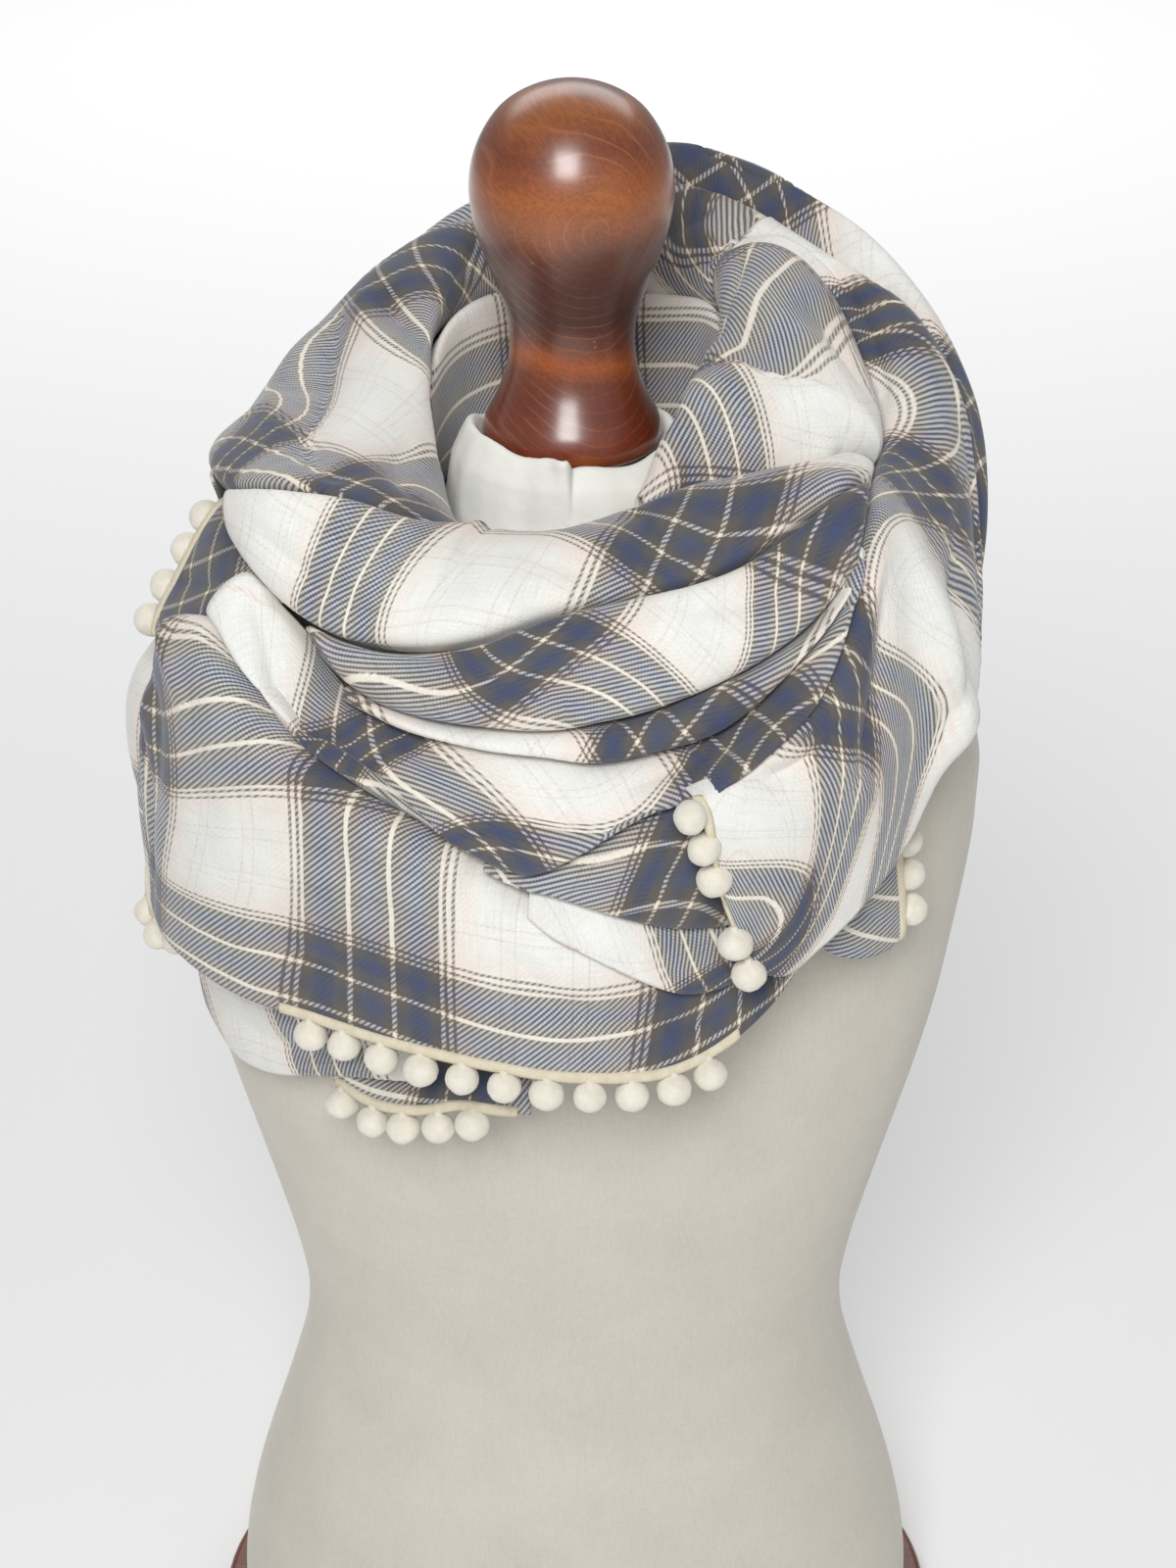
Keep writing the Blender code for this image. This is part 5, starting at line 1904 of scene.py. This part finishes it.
@dataclass(frozen=True)
class DressForm:
    """The limbless form: jersey-covered torso, gathered neck cover, turned knob and base."""

    sides: int = 120
    ring_step: float = 4.0
    soften: float = 26.0
    shoulder_soften: float = 6.0
    soften_band: Pair = (-200.0, -150.0)
    soften_points: int = 13
    plate_round: float = 4.0
    plate_steps: int = 6
    knob_points: int = 110
    knob_crown: float = 0.3
    cover_sides: int = 480
    cover_rows: int = 64
    cover_wall: float = 0.8
    rim: Rim = Rim()

    def ring_points(self, ring: Ring) -> Array:
        """Points round an oval outline at its height.

        Args:
            ring: The outline.

        Returns:
            The points.
        """
        azimuth = np.arange(self.sides) * 360 / self.sides
        radius = oval_radius(azimuth, *ring[1:])
        return to_space(azimuth, radius, np.full(self.sides, float(ring.height)))

    def profile(self, height: float) -> Ring:
        """The torso's outline at a height, its breaks softened.

        Args:
            height: The height.

        Returns:
            The outline.
        """
        rings = np.array(TORSO[::-1], dtype=float)
        reach = np.interp(height, self.soften_band, (self.soften, self.shoulder_soften))
        near = height + np.linspace(-reach, reach, self.soften_points)
        near = np.clip(near, rings[0, 0], rings[-1, 0])
        return Ring(height, *[float(np.interp(near, rings[:, 0], rings[:, k]).mean())
                              for k in (1, 2, 3)])

    def build_torso(self, material: Material) -> Object:
        """Build the torso as one smooth closed form.

        Args:
            material: The jersey.

        Returns:
            The piece.
        """
        top, foot = TORSO[0].height, TORSO[-1].height
        levels = np.linspace(top, foot, round((top - foot) / self.ring_step) + 1)
        rings = [self.ring_points(self.profile(level)) for level in levels]
        return finish_piece("torso", tube_mesh(np.array(rings)), material,
                            ["torso"])

    def build_plate(self, material: Material) -> Object:
        """Build the oval base plate with rounded edges.

        Args:
            material: The wood.

        Returns:
            The piece.
        """
        foot, radius = TORSO[-1], self.plate_round
        steps = [(radius * math.sin(angle), PLATE_RIM - radius + radius * math.cos(angle))
                 for angle in np.linspace(0, math.pi / 2, self.plate_steps)]
        levels = [(radius - rise, out) for rise, out in steps[::-1]]
        levels += [(PLATE_THICK - radius + rise, out) for rise, out in steps]
        rings = [self.ring_points(Ring(level - NECK_TOP, foot.half_width + out,
                                       foot.front + out, foot.back + out))
                 for level, out in levels]
        return finish_piece("base_plate", tube_mesh(np.array(rings)), material,
                            ["base_plate"])

    def build_knob(self, material: Material) -> Object:
        """Spin the turned knob's profile round the neck's axis.

        Args:
            material: The wood.

        Returns:
            The piece.
        """
        outline = [(turn.radius, turn.height) for turn in KNOB[:-1]]
        top = (0.0, KNOB[-1].height + self.knob_crown)
        beyond = [(-radius, height) for radius, height in outline[:-3:-1]]
        path = np.array(outline + [top] + beyond)
        run = run_along(path)
        last = run[len(outline)]
        curve = smooth([(s, *point) for s, point in zip(run, path)],
                       np.linspace(0, last, self.knob_points))
        curve[-1] = top
        builder = bmesh.new()
        verts = [builder.verts.new(Vector((max(r, 0), 0, NECK_TOP + GAP + h)) * MM)
                 for r, h in [(0.0, curve[0, 1]), *curve]]
        edges = [builder.edges.new(pair) for pair in zip(verts, verts[1:])]
        bmesh.ops.spin(builder, geom=verts + edges, cent=(0, 0, 0), axis=(0, 0, 1),
                       angle=2 * math.pi, steps=self.sides, use_merge=True)
        bmesh.ops.remove_doubles(builder, verts=builder.verts[:], dist=MERGE)
        bmesh.ops.recalc_face_normals(builder, faces=builder.faces[:])
        order_faces(builder)
        return finish_piece("neck_knob", builder, material, ["neck_knob"])

    def build_cover(self, material: Material) -> Object:
        """Build the cloth cap: a turned rim round the knob's foot with one pleat.

        Args:
            material: The cotton.

        Returns:
            The piece.
        """
        azimuth = np.arange(self.cover_sides) * 360 / self.cover_sides
        turn = (azimuth + 180) % 360 - 180
        rows = [to_space(azimuth, *self.rim.level(turn, level)) for level in COVER]
        fine = respace(np.array(rows).transpose(1, 0, 2), self.cover_rows).transpose(1, 0, 2)
        builder = grid_mesh(np.concatenate([fine, fine[:, :1]], axis=1))
        bmesh.ops.remove_doubles(builder, verts=builder.verts[:], dist=MERGE)
        bmesh.ops.smooth_vert(builder, verts=builder.verts[:], factor=0.5, use_axis_x=True,
                              use_axis_y=True, use_axis_z=True)
        bmesh.ops.recalc_face_normals(builder, faces=builder.faces[:])
        piece = finish_piece("neck_cover", builder, material, ["neck_cover"])
        give_wall(piece, self.cover_wall)
        return piece


class Lamp(NamedTuple):
    """A soft square light: its side in metres, its power in watts and where it looks."""

    name: str
    place: Triple
    size: float
    power: float
    aim: Triple = (0.0, 0.0, 0.58)


# The upper left front lights the scarf, with a weaker fill, and a wash evens out the floor
LAMPS = (Lamp("key", (-0.2, -1.9, 1.95), 0.95, 42),
         Lamp("fill", (1.4, -1.7, 1.3), 1.8, 2),
         Lamp("wash", (0.0, 4.0, 3.2), 5.0, 150, (0.0, 4.6, 0.0)))


@dataclass(frozen=True)
class Studio:
    """Pale floor, soft lights and the camera."""

    aim: Triple = (0.0063, 0.0, 0.4653)
    distance: float = 1.2
    pitch: float = 27.0
    lens: float = 42.75
    sensor: float = 24.0
    floor_size: float = 14.0
    floor_colour: Four = (0.93, 0.93, 0.93, 1)
    floor_roughness: float = 0.9
    sky_colour: Four = (0.97, 0.98, 1.0, 1)
    sky_strength: float = 0.27

    def build_floor(self) -> None:
        """Build the plain pale floor."""
        builder = bmesh.new()
        bmesh.ops.create_grid(builder, x_segments=8, y_segments=8, size=self.floor_size / 2)
        floor = stand("floor", to_mesh("floor", builder))
        material = bpy.data.materials.new("floor")
        material.use_nodes = True
        shader = material.node_tree.nodes["Principled BSDF"]
        shader.inputs["Base Color"].default_value = self.floor_colour
        shader.inputs["Roughness"].default_value = self.floor_roughness
        floor.data.materials.append(material)

    def add_lamp(self, lamp: Lamp) -> None:
        """Hang one lamp and turn it to where it looks.

        Args:
            lamp: The lamp.
        """
        light = bpy.data.lights.new(lamp.name, "AREA")
        light.shape = "SQUARE"
        light.size = lamp.size
        light.energy = lamp.power
        item = stand(lamp.name, light)
        item.location = lamp.place
        way = Vector(lamp.aim) - Vector(lamp.place)
        item.rotation_euler = way.to_track_quat("-Z", "Y").to_euler()

    def build_lights(self) -> None:
        """Hang the lamps, set the sky and show colours as they are."""
        for lamp in LAMPS:
            self.add_lamp(lamp)
        world = bpy.data.worlds.new("world")
        world.use_nodes = True
        sky = world.node_tree.nodes["Background"]
        sky.inputs["Color"].default_value = self.sky_colour
        sky.inputs["Strength"].default_value = self.sky_strength
        bpy.context.scene.world = world
        bpy.context.scene.view_settings.view_transform = "Standard"

    def build_camera(self) -> None:
        """Stand the camera before the scarf, looking a little down at it."""
        tilt = math.radians(self.pitch)
        camera = bpy.data.cameras.new("camera")
        camera.sensor_fit = "VERTICAL"
        camera.sensor_height = self.sensor
        camera.lens = self.lens
        item = stand("camera", camera)
        item.location = (self.aim[0], self.aim[1] - self.distance * math.cos(tilt),
                         self.aim[2] + self.distance * math.sin(tilt))
        item.rotation_euler = (math.pi / 2 - tilt, 0, 0)
        bpy.context.scene.camera = item


class Trim(NamedTuple):
    """A braid: the stretch it is sewn to and its runs."""

    stretch: str
    runs: tuple[Run, ...]


TRIMS: dict[str, Trim] = {
    "panel_trim": Trim("front_panel", (Run(Side.HEM, -41, 24),)),
    "strip_trim": Trim("left_strip", (Run(Side.START, 0.08, 1.0),)),
    "left_under_trim": Trim("left_under", (Run(Side.HEM, 271, 292),)),
    "under_end_trim": Trim("under_end", (Run(Side.START, 0.75, 1.0), Run(Side.HEM, -42, -8))),
    "hanging_back_trim": Trim("hanging_back", (Run(Side.END, 0.1, 1.0),)),
    "hanging_trim": Trim("right_loop", (Run(Side.START, 0.13, 1.0), Run(Side.HEM, 18, 24))),
}


@dataclass
class Scarf:
    """The whole wound scarf: every stretch, then the braids on its hems."""

    pile: Pile
    jitter: np.random.Generator = field(default_factory=lambda: np.random.default_rng(5))
    cloths: dict[str, Cloth] = field(default_factory=dict)

    def build(self) -> None:
        """Build every stretch with the braids that are sewn to it."""
        flannel = Flannel("flannel", sheen=0.25).build()
        felt = Felt("pompom_felt", sheen=0.35).build()
        tape = Felt("braid_tape", light="F3EBD6", dark="DCCFB0", depth=0.5).build()
        sewn: dict[str, list[Object]] = {}
        for name, stretch in STRETCHES.items():
            self.cloths[name] = Cloth(name, stretch, self.pile)
        for node, trim in TRIMS.items():
            braid = Braid(node, self.cloths[trim.stretch], trim.runs, self.jitter)
            sewn.setdefault(trim.stretch, []).extend(braid.build(felt, tape, node))
        for name, cloth in self.cloths.items():
            piece = cloth.build(flannel)
            width, length = cloth.cut()
            LOG.info("%s is cut %.0f x %.0f mm", name, width / MM, length / MM)


def main() -> None:
    """Build the camera, the form, the scarf and the studio, in that order."""
    logging.basicConfig(level=logging.INFO, format="%(name)s: %(message)s")
    studio = Studio()
    studio.build_camera()
    form = DressForm()
    form.build_torso(Jersey("form_jersey", sheen=0.2).build())
    form.build_cover(Cotton("neck_cotton", sheen=0.2).build())
    form.build_knob(Wood("knob_wood", roughness=0.38, coat=1.0, bands=KNOB_BANDS).build())
    form.build_plate(Wood("base_wood", roughness=0.42, coat=0.3, bands=PLATE_BANDS, axis=1,
                          low=-0.12, high=0.12, stray=0.03, tilt=(0.0, 1.4, 0.3),
                          centre=(0.0, 0.3, 0.0)).build())
    Scarf(Pile()).build()
    studio.build_floor()
    studio.build_lights()


if __name__ == "__main__":
    main()
